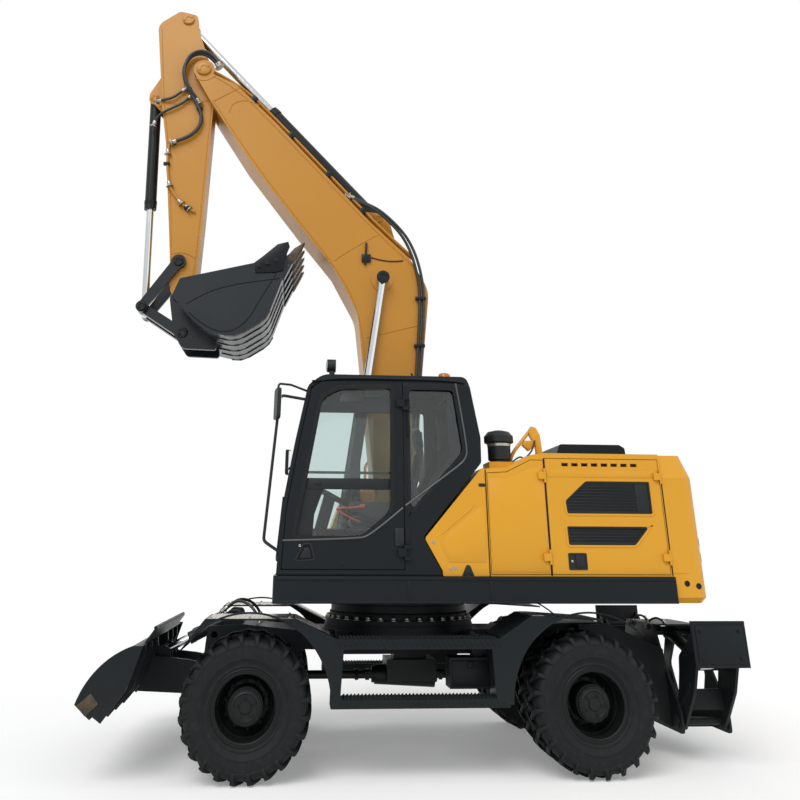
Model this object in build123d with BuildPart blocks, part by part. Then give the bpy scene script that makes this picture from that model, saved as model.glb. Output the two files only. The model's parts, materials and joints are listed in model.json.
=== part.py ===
"""Wheeled excavator with a dozer blade, two stabilisers, a one-piece boom, an arm and a bucket.

Millimetres. X points forward, Y to the left (the cab side) and Z up. The origin lies on the
ground under the swing axis. The boom is raised, the arm tucked in and the bucket curled.
"""

import os
from math import atan2, cos, sin

from build123d import *

os.makedirs("parts", exist_ok=True)

# ---------------------------------------------------------------- driving sizes
RUN = 0.4  # between a pin and its eye, or faces that slide on each other
GAP = 6.0  # between pieces that move past each other
SHEET = 12.0  # folded sheet of fenders and panels

WHEELBASE = 2800.0
FRONT_AXLE_X = 1350.0
REAR_AXLE_X = FRONT_AXLE_X - WHEELBASE
TYRE_RADIUS = 520.0  # out to the lugs' tips
AXLE_Z = TYRE_RADIUS
LUG_DEPTH = 30.0
LUG_COUNT = 18  # the carcass has as many flats, one under each lug
LUG_WIDTH = 70.0
LUG_ROOT = 60.0  # a lug's height from inside the carcass to its tip
TWIN_PITCH = 320.0
TWIN_Y = 955.0  # middle of a pair of twin tyres
BEAD_RADIUS = 254.0
KINGPIN_Y = 775.0
KINGPIN_RADIUS = 30.0

SIDE_Y = 1250.0  # outer face of deck, fenders and step boxes
FRAME_BOTTOM = 800.0
FRAME_TOP = 1000.0
FRAME_HALF = 330.0  # half width of the chassis spine
RING_RADIUS = 640.0
RING_BORE = 520.0
RING_TOP = 1205.0
DECK_BOTTOM = 1260.0
DECK_TOP = 1468.0
DECK_FRONT = 1177.0
DECK_REAR = -2240.0
FLOOR_Z = DECK_TOP + RUN  # underside of cab, hood and tanks

CAB_Y = 1200.0  # outer side of cab and hood
CAB_INNER_Y = 325.0  # the cab's side towards the boom
CAB_WALL = 45.0
CAB_ROOF = 3170.0
DOOR_REAR_X = 75.0
DOOR_THICK = 45.0
GLASS = 8.0

HOOD_FRONT = -650.0
HOOD_SPLIT = -1180.0  # between the service door and the engine door
HOOD_REAR = -2236.0
HOOD_TOP = 2484.0
PANEL = 40.0

BOOM_Y = -60.0  # middle of boom, arm and bucket
BOOM_WIDTH = 500.0
BOOM_CYL_OFFSET = 316.0  # either side of the boom's middle
ARM_WIDTH = 320.0
HINGE_PIN = 7.0
HINGE_EYE_HALF = 30.0
BUCKET_WIDTH = 1100.0
TANK_Y = -450.0  # inner side of the tanks on the right

# Door hinges, each as (x, y) of its pins and their heights.
CAB_HINGE = (DOOR_REAR_X, CAB_Y + 25)
CAB_HINGE_LEVELS = (1650, 2900)
SERVICE_HINGE = (HOOD_SPLIT + 4, CAB_Y + 18)
ENGINE_HINGE = (HOOD_REAR + 8, CAB_Y + 18)
HOOD_HINGE_LEVELS = (1620, 2290)
LID_HINGE_Z = HOOD_TOP + 14
LID_HINGE_Y = (-500, 500)

# Pins of the working gear, each as (x, z).
LINK_PIN_RADIUS = 36.0
BOOM_FOOT = (50.0, 1800.0)
BOOM_TIP = (2275.0, 6979.0)
BOOM_CYL_BASE = (590.0, 1520.0)
BOOM_CYL_EYE = (160.0, 4400.0)
ARM_CYL_BASE = (190.0, 5190.0)
ARM_CYL_EYE = (2530.0, 7730.0)
ARM_TIP = (2325.0, 4165.0)
ARM_EYE_LOW = (2465.0, 7500.0)  # middle of the rod eye's path in the arm's fork
BUCKET_CYL_BASE = (2843.0, 6644.0)
ROCKER_PIN = (2366.0, 4568.0)
LINK_PIN = (2706.0, 4056.0)
BUCKET_PIN = (2256.0, 3777.0)

BLADE_PIVOT = (1700.0, 650.0)
BLADE_CYL_BASE = (1545.0, 1105.0)
BLADE_CYL_EYE = (2150.0, 820.0)
BLADE_HALF = 1240.0
BLADE_ARM_Y = 300.0
BLADE_CYL_Y = 190.0

# Round eyes for tie-down shackles, as (x, z), and threaded holes for lifting eyes.
TIE_FRONT = (1700.0, 960.0)  # high enough for a straight shackle pin to pass the tyre
TIE_RADIUS = 28.0
LIFT_HOLE = (-2340.0, 600.0)  # as (x, y)
LIFT_RADIUS = 18.0
LIFT_DEPTH = 90.0

STAB_X = -2585.0  # middle of the stabiliser legs
TIE_REAR = (STAB_X + 395, 620.0)
STAB_PIVOT = (620.0, 300.0)  # as (y, z)
STAB_PAD = (1075.0, 945.0)  # pad pin, as (y, z)
STAB_CYL_BASE = (190.0, 960.0)
STAB_CYL_EYE = (830.0, 760.0)
STAB_LEG_WIDTH = 380.0
STAB_FRAME = STAB_LEG_WIDTH / 2 + 30  # half width over the two plates that carry the legs

# The tyre's section: half widths at its bead, its widest place and its tread.
BEAD_HALF = 97.0
WALL_RADIUS = 385.0
WALL_HALF = 135.0
TREAD_HALF = 112.0
RIM_FLANGE = 22.0  # the flange's height over the bead


# ---------------------------------------------------------------- shared shapes
def outline(plane, points, radius=0):
    """A closed face through points; radius rounds all corners, or lists one for each."""
    with BuildSketch(plane) as face:
        with BuildLine():
            if radius:
                FilletPolyline(*points, radius=radius, close=True)
            else:
                Polyline(*points, close=True)
        make_face()
    return face.sketch


def side_plate(points, y_low, y_high, radius=0, mode=Mode.ADD):
    """A plate cut to a side view of (x, z) points."""
    face = outline(Plane.XZ.offset(-y_low), points, radius)
    extrude(face, amount=y_low - y_high, mode=mode)


def plan_plate(points, z_low, z_high, radius=0, mode=Mode.ADD):
    """A plate cut to a plan of (x, y) points."""
    extrude(outline(Plane.XY.offset(z_low), points, radius), amount=z_high - z_low, mode=mode)


def cross_plate(points, x_low, x_high, radius=0, mode=Mode.ADD):
    """A plate cut to a front view of (y, z) points."""
    extrude(outline(Plane.YZ.offset(x_low), points, radius), amount=x_high - x_low, mode=mode)


def block(x, y, z, mode=Mode.ADD):
    """A box from the (low, high) pairs of each axis."""
    middle = [(low + high) / 2 for low, high in (x, y, z)]
    with Locations(tuple(middle)):
        Box(*(high - low for low, high in (x, y, z)), mode=mode)


def cross_bar(place, radius, y_low, y_high, mode=Mode.ADD):
    """A round bar or hole across the machine at (x, z)."""
    with Locations((place[0], (y_low + y_high) / 2, place[1])):
        Cylinder(radius, y_high - y_low, rotation=(90, 0, 0), mode=mode)


def span(side, near, far):
    """The low and high ends of a stretch on one side of the middle."""
    return sorted((side * near, side * far))


def tube_along(points, radius, bend):
    """A bent round tube through points."""
    with BuildLine() as path:
        FilletPolyline(*points, radius=bend)
    start = path.line.edges()[0]
    with BuildSketch(Plane(origin=start @ 0, z_dir=start % 0)) as section:
        Circle(radius)
    sweep(section.sketch, path=path.line)


def save(part, name):
    part.label = name
    export_step(part, f"parts/{name}.step")


def shrunk(points, margin):
    """The same outline drawn in by margin on every side."""
    following = points[1:] + points[:1]
    area = sum(a[0] * b[1] - b[0] * a[1] for a, b in zip(points, following))
    turn = 1 if area > 0 else -1
    drawn_in = []
    for before, here, after in zip(points[-1:] + points[:-1], points, following):
        arriving = Vector(here[0] - before[0], here[1] - before[1]).normalized()
        leaving = Vector(after[0] - here[0], after[1] - here[1]).normalized()
        inward = Vector(-arriving.Y - leaving.Y, arriving.X + leaving.X) * turn
        move = inward * (2 * margin / inward.length**2)
        drawn_in.append((here[0] + move.X, here[1] + move.Y))
    return drawn_in


def hinge_lugs(x, side, axis_y, levels, reach):
    """Pins with a lug above and below each eye, on the fixed side of a door's hinge line."""
    for z in levels:
        with Locations((x, side * axis_y, z)):
            Cylinder(HINGE_PIN, 4 * HINGE_EYE_HALF)
        for level in (-1, 1):
            low = z + level * 1.5 * HINGE_EYE_HALF - HINGE_EYE_HALF / 2 + max(level, 0) * RUN
            high = low + HINGE_EYE_HALF - RUN
            block(sorted((x, x + reach)), span(side, CAB_Y - 3, axis_y + HINGE_PIN), (low, high))
            with Locations((x, side * axis_y, (low + high) / 2)):
                Cylinder(HINGE_PIN + 3, high - low)


def hinge_eyes(x, axis_y, levels, reach):
    """Eyes round those pins, on a left-hand door."""
    for z in levels:
        eye = (z - HINGE_EYE_HALF, z + HINGE_EYE_HALF)
        block(sorted((x, x + reach)), (CAB_Y, axis_y + HINGE_PIN), eye)
        with Locations((x, axis_y, z)):
            Cylinder(HINGE_PIN + 4, 2 * HINGE_EYE_HALF)
            Cylinder(HINGE_PIN + RUN, 2 * HINGE_EYE_HALF, mode=Mode.SUBTRACT)


def hydraulic_cylinder(base, eye, pin_axis, sizes, copies):
    """A barrel and a rod from base pin to rod eye; copies are offsets along the pin axis.

    sizes are barrel_length, insertion, barrel_radius, rod_radius, eye_radius, eye_width, pin_radius.
    """
    barrel_length, insertion, barrel_radius, rod_radius, eye_radius, eye_width, pin_radius = sizes
    base, eye, pin_axis = Vector(*base), Vector(*eye), Vector(*pin_axis)
    length = (eye - base).length
    planes = [
        Plane(origin=base + pin_axis * offset, x_dir=pin_axis, z_dir=eye - base)
        for offset in copies
    ]
    with BuildPart() as barrel:
        for plane in planes:
            with BuildSketch(plane):
                Circle(barrel_radius)
            extrude(amount=barrel_length)
            with BuildSketch(plane.offset(barrel_length - barrel_radius)):
                Circle(barrel_radius * 1.06)
            extrude(amount=barrel_radius)
            with Locations(plane):
                Cylinder(eye_radius, eye_width, rotation=(0, 90, 0))
            with BuildSketch(plane.offset(eye_radius)):
                Circle(rod_radius + RUN)
            extrude(amount=barrel_length, mode=Mode.SUBTRACT)
            with Locations(plane):
                Cylinder(pin_radius + RUN, eye_width, rotation=(0, 90, 0), mode=Mode.SUBTRACT)
    with BuildPart() as rod:
        for plane in planes:
            with BuildSketch(plane.offset(barrel_length - insertion)):
                Circle(rod_radius)
            extrude(amount=length - barrel_length + insertion)
            with Locations(plane.offset(length)):
                Cylinder(eye_radius, eye_width, rotation=(0, 90, 0))
    return barrel.part, rod.part


# ---------------------------------------------------------------- wheels
with BuildPart() as tyre:
    for half, flat in [(-WALL_HALF, WALL_RADIUS), (-TREAD_HALF, TYRE_RADIUS - LUG_DEPTH),
                       (TREAD_HALF, TYRE_RADIUS - LUG_DEPTH), (WALL_HALF, WALL_RADIUS)]:
        with BuildSketch(Plane.ZX.offset(half)):
            RegularPolygon(flat, LUG_COUNT, major_radius=False, rotation=180 / LUG_COUNT)
    loft(ruled=True)
    for side in (-1, 1):
        for half, flat in [(WALL_HALF, WALL_RADIUS), (BEAD_HALF, BEAD_RADIUS + RIM_FLANGE)]:
            with BuildSketch(Plane.ZX.offset(side * half)):
                RegularPolygon(flat, LUG_COUNT, major_radius=False, rotation=180 / LUG_COUNT)
        loft(ruled=True, mode=Mode.SUBTRACT)
    with BuildSketch(Plane.ZX.offset(-WALL_HALF)):
        RegularPolygon(BEAD_RADIUS + RUN, LUG_COUNT, major_radius=False, rotation=180 / LUG_COUNT)
    extrude(amount=2 * WALL_HALF, mode=Mode.SUBTRACT)
    with BuildSketch(Plane.ZX.offset(-TREAD_HALF)) as lugs:
        with PolarLocations(TYRE_RADIUS - LUG_ROOT / 2, LUG_COUNT):
            Rectangle(LUG_ROOT, LUG_WIDTH)
    extrude(lugs.sketch, amount=2 * TREAD_HALF)

with BuildPart() as twin_tyre:
    for twin in (-1, 1):
        add(tyre.part.moved(Location((0, TWIN_Y + twin * TWIN_PITCH / 2, 0))))

with BuildPart() as twin_rim:
    inner = TWIN_Y - TWIN_PITCH / 2 - 100
    outer = TWIN_Y + TWIN_PITCH / 2 + 100
    flange = BEAD_RADIUS + RIM_FLANGE
    with BuildSketch(Plane.XY) as section:
        with BuildLine():
            Polyline(
                (BEAD_RADIUS, inner), (flange, inner), (flange, inner - 14), (235, inner - 14),
                (235, TWIN_Y - 95), (150, TWIN_Y - 14), (92, TWIN_Y - 14), (92, TWIN_Y + 4),
                (60, TWIN_Y + 4), (60, TWIN_Y + 140), (0, TWIN_Y + 140), (0, outer - 30),
                (125, outer - 30), (125, outer - 62), (138, outer - 62), (138, TWIN_Y + 60), (150, TWIN_Y + 14), (235, TWIN_Y + 95),
                (235, outer + 14), (flange, outer + 14), (flange, outer), (BEAD_RADIUS, outer),
                close=True,
            )
        make_face()
    revolve(section.sketch, axis=Axis.Y)

for name, x, side in [
    ("front_left", FRONT_AXLE_X, 1), ("front_right", FRONT_AXLE_X, -1),
    ("rear_left", REAR_AXLE_X, 1), ("rear_right", REAR_AXLE_X, -1),
]:
    for kind, source in [("tyre", twin_tyre.part), ("rim", twin_rim.part)]:
        with BuildPart() as wheel:
            add(source if side == 1 else source.mirror(Plane.XZ))
        save(wheel.part.moved(Location((x, 0, AXLE_Z))), f"{kind}_{name}")


# ---------------------------------------------------------------- axles and steering
KNUCKLE_HALF = 105.0  # half height of the knuckle between the yoke's arms
YOKE_ARM = 45.0
YOKE_WEB_Y = 505.0  # inner face of the plate that joins the yoke's arms
SPINDLE_RADIUS = 60.0
TRACK_ARM = 230.0  # kingpin to the steering rod, ahead of the axle
ROD_END_Y = 590.0

with BuildPart() as front_axle:
    cross_bar((0, 0), 78, -YOKE_WEB_Y, YOKE_WEB_Y)
    with BuildSketch(Plane.YZ.offset(-190)):
        Circle(185)
    extrude(amount=360, taper=8)
    for side in (-1, 1):
        block((-45, 45), span(side, YOKE_WEB_Y - 1, YOKE_WEB_Y + 45), (-150, 150))
        for level in (-1, 1):
            block((-65, 65), span(side, YOKE_WEB_Y - 1, KINGPIN_Y + 60),
                  span(level, KNUCKLE_HALF + RUN, KNUCKLE_HALF + YOKE_ARM))
        with Locations((0, side * KINGPIN_Y, 0)):
            Cylinder(KINGPIN_RADIUS, 2 * KNUCKLE_HALF + 2 * YOKE_ARM)
        block((-130, 130), span(side, 220, 320), (60, FRAME_BOTTOM - AXLE_Z - 20))
    cross_bar((TRACK_ARM, 0), 48, -260, 260)
    block((0, TRACK_ARM), (-230, 230), (-30, 30))
    cross_bar((TRACK_ARM, 0), 22 + RUN, -270, 270, mode=Mode.SUBTRACT)
save(front_axle.part.moved(Location((FRONT_AXLE_X, 0, AXLE_Z))), "front_axle")

with BuildPart() as knuckle:
    with Locations((0, KINGPIN_Y, 0)):
        Cylinder(85, 2 * KNUCKLE_HALF)
    cross_bar((0, 0), 80, KINGPIN_Y, TWIN_Y - 14 - RUN)
    cross_bar((0, 0), SPINDLE_RADIUS - RUN, TWIN_Y - 20, TWIN_Y + 130)
    plan_plate([(40, KINGPIN_Y - 70), (TRACK_ARM - 25, ROD_END_Y + RUN), (TRACK_ARM + 25, ROD_END_Y + RUN),
                (TRACK_ARM + 25, ROD_END_Y + 65), (TRACK_ARM - 15, ROD_END_Y + 75),
                (30, KINGPIN_Y + 70)], -25, 40)
    with Locations((0, KINGPIN_Y, 0)):
        Cylinder(KINGPIN_RADIUS + RUN, 2 * KNUCKLE_HALF + 10, mode=Mode.SUBTRACT)
for side, name in [(1, "left"), (-1, "right")]:
    part = knuckle.part if side == 1 else knuckle.part.mirror(Plane.XZ)
    save(part.moved(Location((FRONT_AXLE_X, 0, AXLE_Z))), f"knuckle_{name}")

with BuildPart() as steer_rod:
    cross_bar((TRACK_ARM, 0), 22, -ROD_END_Y + GAP, ROD_END_Y - GAP)
save(steer_rod.part.moved(Location((FRONT_AXLE_X, 0, AXLE_Z))), "steer_rod")

with BuildPart() as rear_axle:
    cross_bar((0, 0), 95, -KINGPIN_Y, KINGPIN_Y)
    with BuildSketch(Plane.YZ.offset(-170)):
        Circle(185)
    extrude(amount=340, taper=8)
    for side in (-1, 1):
        cross_bar((0, 0), 130, *span(side, 560, KINGPIN_Y + 60))
        cross_bar((0, 0), SPINDLE_RADIUS - RUN, *span(side, KINGPIN_Y, TWIN_Y + 130))
        cross_bar((0, 0), 84, *span(side, KINGPIN_Y, TWIN_Y - 14 - RUN))
        block((-130, 130), span(side, 220, 320), (60, FRAME_BOTTOM - AXLE_Z - 20))
save(rear_axle.part.moved(Location((REAR_AXLE_X, 0, AXLE_Z))), "rear_axle")

SHAFT_Z = 600.0
with BuildPart() as driveline:
    block((-330, 130), (-210, 190), (560, FRAME_BOTTOM - 60))
    block((-250, 60), (-120, 120), (FRAME_BOTTOM - 60, FRAME_BOTTOM))
    with BuildSketch(Plane.YZ.offset(-330)):
        with Locations((0, SHAFT_Z)):
            Circle(110)
    extrude(amount=560, taper=3)
    for low, high in [(REAR_AXLE_X + 170, -330), (230, FRONT_AXLE_X - 190)]:
        with BuildSketch(Plane.YZ.offset(low)):
            with Locations((0, SHAFT_Z)):
                Circle(36)
        extrude(amount=high - low)
        for flange in (low, high - 26):
            with BuildSketch(Plane.YZ.offset(flange)):
                with Locations((0, SHAFT_Z)):
                    Circle(68)
            extrude(amount=26)
save(driveline.part, "driveline")


# ---------------------------------------------------------------- chassis
TOOL_BOX_TOP = 840.0
REAR_JOINT_X = STAB_X + STAB_FRAME + RUN  # where the rear frame is bolted to the spine
with BuildPart() as chassis_frame:
    side_plate([(1760, 860), (1760, 1030), (1440, 1045), (1000, FRAME_TOP), (-1000, FRAME_TOP),
                (-1480, 1050), (-1868, 1057), (REAR_JOINT_X, 860), (REAR_JOINT_X, 780),
                (-1900, FRAME_BOTTOM - 20)], -FRAME_HALF, FRAME_HALF)
    with Locations((0, 0, (FRAME_TOP + 1045) / 2 - 60)):
        Cylinder(RING_RADIUS + 60, 165)
    with Locations((0, 0, 0)):
        Cylinder(RING_BORE - 60, 4000, mode=Mode.SUBTRACT)
    side_plate([(700, FRAME_BOTTOM), (700, FRAME_TOP - 100), (-700, FRAME_TOP - 100),
                (-700, FRAME_BOTTOM)], -FRAME_HALF, FRAME_HALF)
    for x in (REAR_AXLE_X + 890, FRONT_AXLE_X - 790):
        for side in (-1, 1):
            cross_plate([(side * 250, FRAME_BOTTOM + 10), (side * 250, FRAME_TOP),
                         (side * 1010, 985), (side * 1010, 870)], x - 60, x + 60)
    for side in (-1, 1):
        block((REAR_AXLE_X + 850, REAR_AXLE_X + 930), span(side, 820, 960), (TOOL_BOX_TOP + RUN, 880))
    for x in (FRONT_AXLE_X, REAR_AXLE_X):
        block((x - 150, x + 150), (-FRAME_HALF, FRAME_HALF), (FRAME_BOTTOM - 20, FRAME_BOTTOM + 80))
    for side in (-1, 1):
        block((1470, 1800), span(side, BLADE_CYL_Y - 58, BLADE_CYL_Y + 58), (700, 1210), mode=Mode.SUBTRACT)
        side_plate([(1560, 820), (1560, 1020), (1770, 1020), (1800, 620), (1700, 560), (1600, 620)],
                   *span(side, BLADE_ARM_Y - 48, BLADE_ARM_Y - 27), radius=[0, 0, 0, 50, 60, 50])
        cross_bar(BLADE_PIVOT, 25, *span(side, BLADE_ARM_Y - 48, BLADE_ARM_Y + 40))
        for near in (BLADE_CYL_Y - 76, BLADE_CYL_Y + 55):
            side_plate([(1440, 1000), (1480, 1150), (1600, 1160), (1640, 1000)],
                       *span(side, near, near + 21), radius=[0, 40, 40, 0])
        cross_bar(BLADE_CYL_BASE, 22, *span(side, BLADE_CYL_Y - 76, BLADE_CYL_Y + 76))
        cross_bar(TIE_FRONT, TIE_RADIUS, *span(side, BLADE_CYL_Y + 50, FRAME_HALF + 5), mode=Mode.SUBTRACT)
save(chassis_frame.part, "chassis_frame")

with BuildPart() as rear_frame:
    for side in (-1, 1):
        side_plate([(-1600, 790), (-1600, 1045), (STAB_X + 717, 1057), (STAB_X + STAB_FRAME, 850),
                    (STAB_X + STAB_FRAME, 235), (STAB_X + 345, 300), (STAB_X + 625, 790)], *span(side, 470, 500))
        block((-1700, -1600), span(side, FRAME_HALF + RUN, 471), (830, 1040))
        cross_bar(TIE_REAR, TIE_RADIUS, *span(side, 460, 510), mode=Mode.SUBTRACT)
    for low in (STAB_X - STAB_FRAME, STAB_X + STAB_FRAME - 20):
        cross_plate([(-720, 215), (-720, 380), (-500, 700), (-330, 1040), (330, 1040), (500, 700),
                     (720, 380), (720, 215)], low, low + 20, radius=[40, 40, 0, 60, 60, 0, 40, 40])
        cross_plate([(-250, 340), (-380, 640), (-230, 840), (230, 840), (380, 640), (250, 340)],
                    low, low + 20, radius=60, mode=Mode.SUBTRACT)
    block((STAB_X - STAB_FRAME, STAB_X + STAB_FRAME), (-380, 380), (215, 240))
    block((STAB_X - STAB_FRAME, STAB_X + STAB_FRAME), (-330, 330), (1026, 1040))
    for side in (-1, 1):
        for place, radius in [(STAB_PIVOT, 30), (STAB_CYL_BASE, 24)]:
            with Locations((STAB_X, side * place[0], place[1])):
                Cylinder(radius, 2 * STAB_FRAME, rotation=(0, 90, 0))
save(rear_frame.part, "rear_frame")

with BuildPart() as slew_ring:
    with BuildSketch(Plane.XY.offset(1045)):
        Circle(RING_RADIUS + 55)
    extrude(amount=45)
    with BuildSketch(Plane.XY.offset(1045)):
        Circle(RING_RADIUS)
    extrude(amount=RING_TOP - RUN - 1045)
    with Locations((0, 0, 1100)):
        Cylinder(RING_BORE + GAP, 400, mode=Mode.SUBTRACT)
save(slew_ring.part, "slew_ring")

STEP_OUTER = [(FRONT_AXLE_X - 678, 1000), (FRONT_AXLE_X - 666, 510), (REAR_AXLE_X + 701, 510),
              (REAR_AXLE_X + 725, 1000)]
STEP_INNER = [(FRONT_AXLE_X - 765, 925), (FRONT_AXLE_X - 740, 572), (REAR_AXLE_X + 810, 572),
              (REAR_AXLE_X + 830, 925)]
ARCH_RADIUS = 670.0
FRONT_FENDER = [(FRONT_AXLE_X + 533, 929), (FRONT_AXLE_X + 355, 1150), (FRONT_AXLE_X - 373, 1150),
                (FRONT_AXLE_X - 690, 1008)]
REAR_FENDER = [(REAR_AXLE_X - 130, 1140), (REAR_AXLE_X + 350, 1168), (REAR_AXLE_X + 485, 1168),
               (REAR_AXLE_X + 750, 1008)]
FRONT_FOOT = [(FRONT_AXLE_X - 710, 1000), (FRONT_AXLE_X - 710, 530), (FRONT_AXLE_X - 670, 530)]
REAR_FOOT = [(REAR_AXLE_X + 760, 1000), (REAR_AXLE_X + 760, 530), (REAR_AXLE_X + 650, 530),
             (REAR_AXLE_X - 130, 1000)]
FENDER_INNER_Y = 660.0
with BuildPart() as step_left:
    side_plate(STEP_OUTER, 1010, SIDE_Y)
    side_plate(STEP_INNER, 1000, SIDE_Y + 10, mode=Mode.SUBTRACT)
    for fender, x, foot in [(FRONT_FENDER, FRONT_AXLE_X, FRONT_FOOT), (REAR_FENDER, REAR_AXLE_X, REAR_FOOT)]:
        side_plate([*fender, *foot], SIDE_Y - SHEET, SIDE_Y)
        side_plate([*fender, *[(px, pz - SHEET) for px, pz in reversed(fender)]], FENDER_INNER_Y, SIDE_Y)
        cross_bar((x, AXLE_Z), ARCH_RADIUS, SIDE_Y - 2 * SHEET, SIDE_Y + 10, mode=Mode.SUBTRACT)
save(step_left.part, "step_left")
save(step_left.part.mirror(Plane.XZ), "step_right")

with BuildPart() as tool_boxes:
    for side in (-1, 1):
        block((REAR_AXLE_X + 790, REAR_AXLE_X + 1140), span(side, 780, 1002), (610, TOOL_BOX_TOP))
save(tool_boxes.part, "tool_boxes")


# ---------------------------------------------------------------- dozer blade
BLADE_TOP = (2215.0, 958.0)
BLADE_TIP = (2653.0, 555.0)
BLADE_HEEL = (2442.0, 427.0)
BLADE_BACK = (2175.0, 957.0)
with BuildPart() as blade:
    with BuildSketch(Plane.XZ.offset(BLADE_HALF)) as section:
        with BuildLine():
            front = SagittaArc(BLADE_TOP, BLADE_TIP, 75)
            Line(BLADE_TIP, (BLADE_TIP[0] - 20, BLADE_TIP[1] - 16))
            SagittaArc((BLADE_TOP[0] - 22, BLADE_TOP[1] - 10), (BLADE_TIP[0] - 20, BLADE_TIP[1] - 16), 75)
            Line(BLADE_TOP, (BLADE_TOP[0] - 22, BLADE_TOP[1] - 10))
        make_face()
    extrude(section.sketch, amount=-2 * BLADE_HALF)
    side_plate([BLADE_TOP, (BLADE_TOP[0] - 75, BLADE_TOP[1] + 105), (BLADE_TOP[0] - 95, BLADE_TOP[1] + 95),
                (BLADE_TOP[0] - 22, BLADE_TOP[1] - 10)], -900, 900)
    for side in (-1, 1):
        with BuildSketch(Plane.XZ.offset(-span(side, BLADE_HALF, BLADE_HALF - 20)[0])) as cheek:
            with BuildLine():
                SagittaArc((BLADE_TOP[0] + 38, BLADE_TOP[1]), BLADE_TIP, 70)
                Polyline(BLADE_TIP, (2528, 452), (2505, 470), BLADE_HEEL, (2280, 640), (2235, 760),
                         BLADE_BACK, (BLADE_TOP[0] + 38, BLADE_TOP[1]))
            make_face()
        extrude(cheek.sketch, amount=-20)
        for near, thick in [(BLADE_ARM_Y, 40), (640, 20), (950, 20)]:
            with BuildSketch(Plane.XZ.offset(-span(side, near - thick / 2, near + thick / 2)[0])) as rib:
                top = (BLADE_TOP[0] - 15, BLADE_TOP[1] - 5)
                tip = (BLADE_TIP[0] - 15, BLADE_TIP[1] - 10)
                with BuildLine():
                    SagittaArc(top, tip, 75)
                    Polyline(tip, BLADE_HEEL, (2260, 640), (2190, 870), top)
                make_face()
            extrude(rib.sketch, amount=-thick)
        side_plate([(BLADE_PIVOT[0] - 60, BLADE_PIVOT[1] - 50), (BLADE_PIVOT[0] - 60, BLADE_PIVOT[1] + 55),
                    (1900, 760), (2250, 800), (2330, 520), (1930, 500)],
                   *span(side, BLADE_ARM_Y - 20, BLADE_ARM_Y + 20), radius=[50, 50, 0, 0, 0, 60])
        cross_bar(BLADE_PIVOT, 75, *span(side, BLADE_ARM_Y - 24, BLADE_ARM_Y + 34))
        cross_bar(BLADE_PIVOT, 25 + RUN, *span(side, BLADE_ARM_Y - 40, BLADE_ARM_Y + 60), mode=Mode.SUBTRACT)
        for offset in (-76, 56):
            near = BLADE_CYL_Y + offset
            side_plate([(2060, 700), (2100, 850), (2150, 880), (2220, 850), (2220, 700)],
                       *span(side, near, near + 20), radius=[0, 30, 50, 0, 0])
    side_plate([(1960, 520), (1960, 700), (2240, 720), (2310, 540)], -BLADE_ARM_Y, BLADE_ARM_Y)
    side_plate([(2000, 550), (2000, 680), (2215, 690), (2260, 570)], -BLADE_ARM_Y + 20, BLADE_ARM_Y - 20,
               mode=Mode.SUBTRACT)
save(blade.part, "blade")

blade_barrels, blade_rods = hydraulic_cylinder(
    (BLADE_CYL_BASE[0], 0, BLADE_CYL_BASE[1]), (BLADE_CYL_EYE[0], 0, BLADE_CYL_EYE[1]), (0, 1, 0),
    (430, 260, 50, 30, 46, 108, 22), (-BLADE_CYL_Y, BLADE_CYL_Y))
save(blade_barrels, "blade_barrels")
save(blade_rods, "blade_rods")


# ---------------------------------------------------------------- stabilisers
HALF_LEG = STAB_LEG_WIDTH / 2
with BuildPart() as leg_left:
    for low, high in [(-HALF_LEG, -HALF_LEG + 25), (HALF_LEG - 25, HALF_LEG)]:
        cross_plate([(STAB_PIVOT[0] - 60, STAB_PIVOT[1] - 50), (STAB_PIVOT[0] + 60, STAB_PIVOT[1] - 60),
                     (960, 560), (STAB_PAD[0] + 50, STAB_PAD[1] - 60), (STAB_PAD[0] + 50, STAB_PAD[1] + 50),
                     (STAB_PAD[0] - 50, STAB_PAD[1] + 50), (STAB_CYL_EYE[0] - 80, STAB_CYL_EYE[1] + 60),
                     (STAB_CYL_EYE[0] - 110, STAB_CYL_EYE[1] - 60)],
                    STAB_X + low, STAB_X + high, radius=[50, 50, 60, 40, 45, 45, 60, 60])
    block((STAB_X - HALF_LEG, STAB_X + HALF_LEG), (STAB_PIVOT[0] + 95, STAB_PIVOT[0] + 115), (400, 560))
    with Locations((STAB_X, STAB_PIVOT[0], STAB_PIVOT[1])):
        Cylinder(30 + RUN, 2 * STAB_FRAME, rotation=(0, 90, 0), mode=Mode.SUBTRACT)
    for low, high in [(-HALF_LEG, -62), (62, HALF_LEG)]:
        with BuildSketch(Plane.YZ.offset(STAB_X + low)):
            with Locations(STAB_CYL_EYE):
                Circle(48)
        extrude(amount=high - low)
    with Locations((STAB_X, STAB_PAD[0], STAB_PAD[1])):
        Cylinder(26, STAB_LEG_WIDTH + 50, rotation=(0, 90, 0))
save(leg_left.part, "stabiliser_leg_left")
save(leg_left.part.mirror(Plane.XZ), "stabiliser_leg_right")

with BuildPart() as pad_left:
    face_y = STAB_PAD[0] + 75
    block((STAB_X - 235, STAB_X + 235), (face_y, face_y + 25), (770, 1123))
    for low in (-HALF_LEG - 26, HALF_LEG + 6):
        cross_plate([(STAB_PAD[0] - 45, STAB_PAD[1] + 45), (face_y, STAB_PAD[1] + 110),
                     (face_y, STAB_PAD[1] - 110), (STAB_PAD[0] - 45, STAB_PAD[1] - 45)],
                    STAB_X + low, STAB_X + low + 20, radius=[44, 0, 0, 44])
    with Locations((STAB_X, STAB_PAD[0], STAB_PAD[1])):
        Cylinder(26 + RUN, STAB_LEG_WIDTH + 60, rotation=(0, 90, 0), mode=Mode.SUBTRACT)
save(pad_left.part, "stabiliser_pad_left")
save(pad_left.part.mirror(Plane.XZ), "stabiliser_pad_right")

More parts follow.
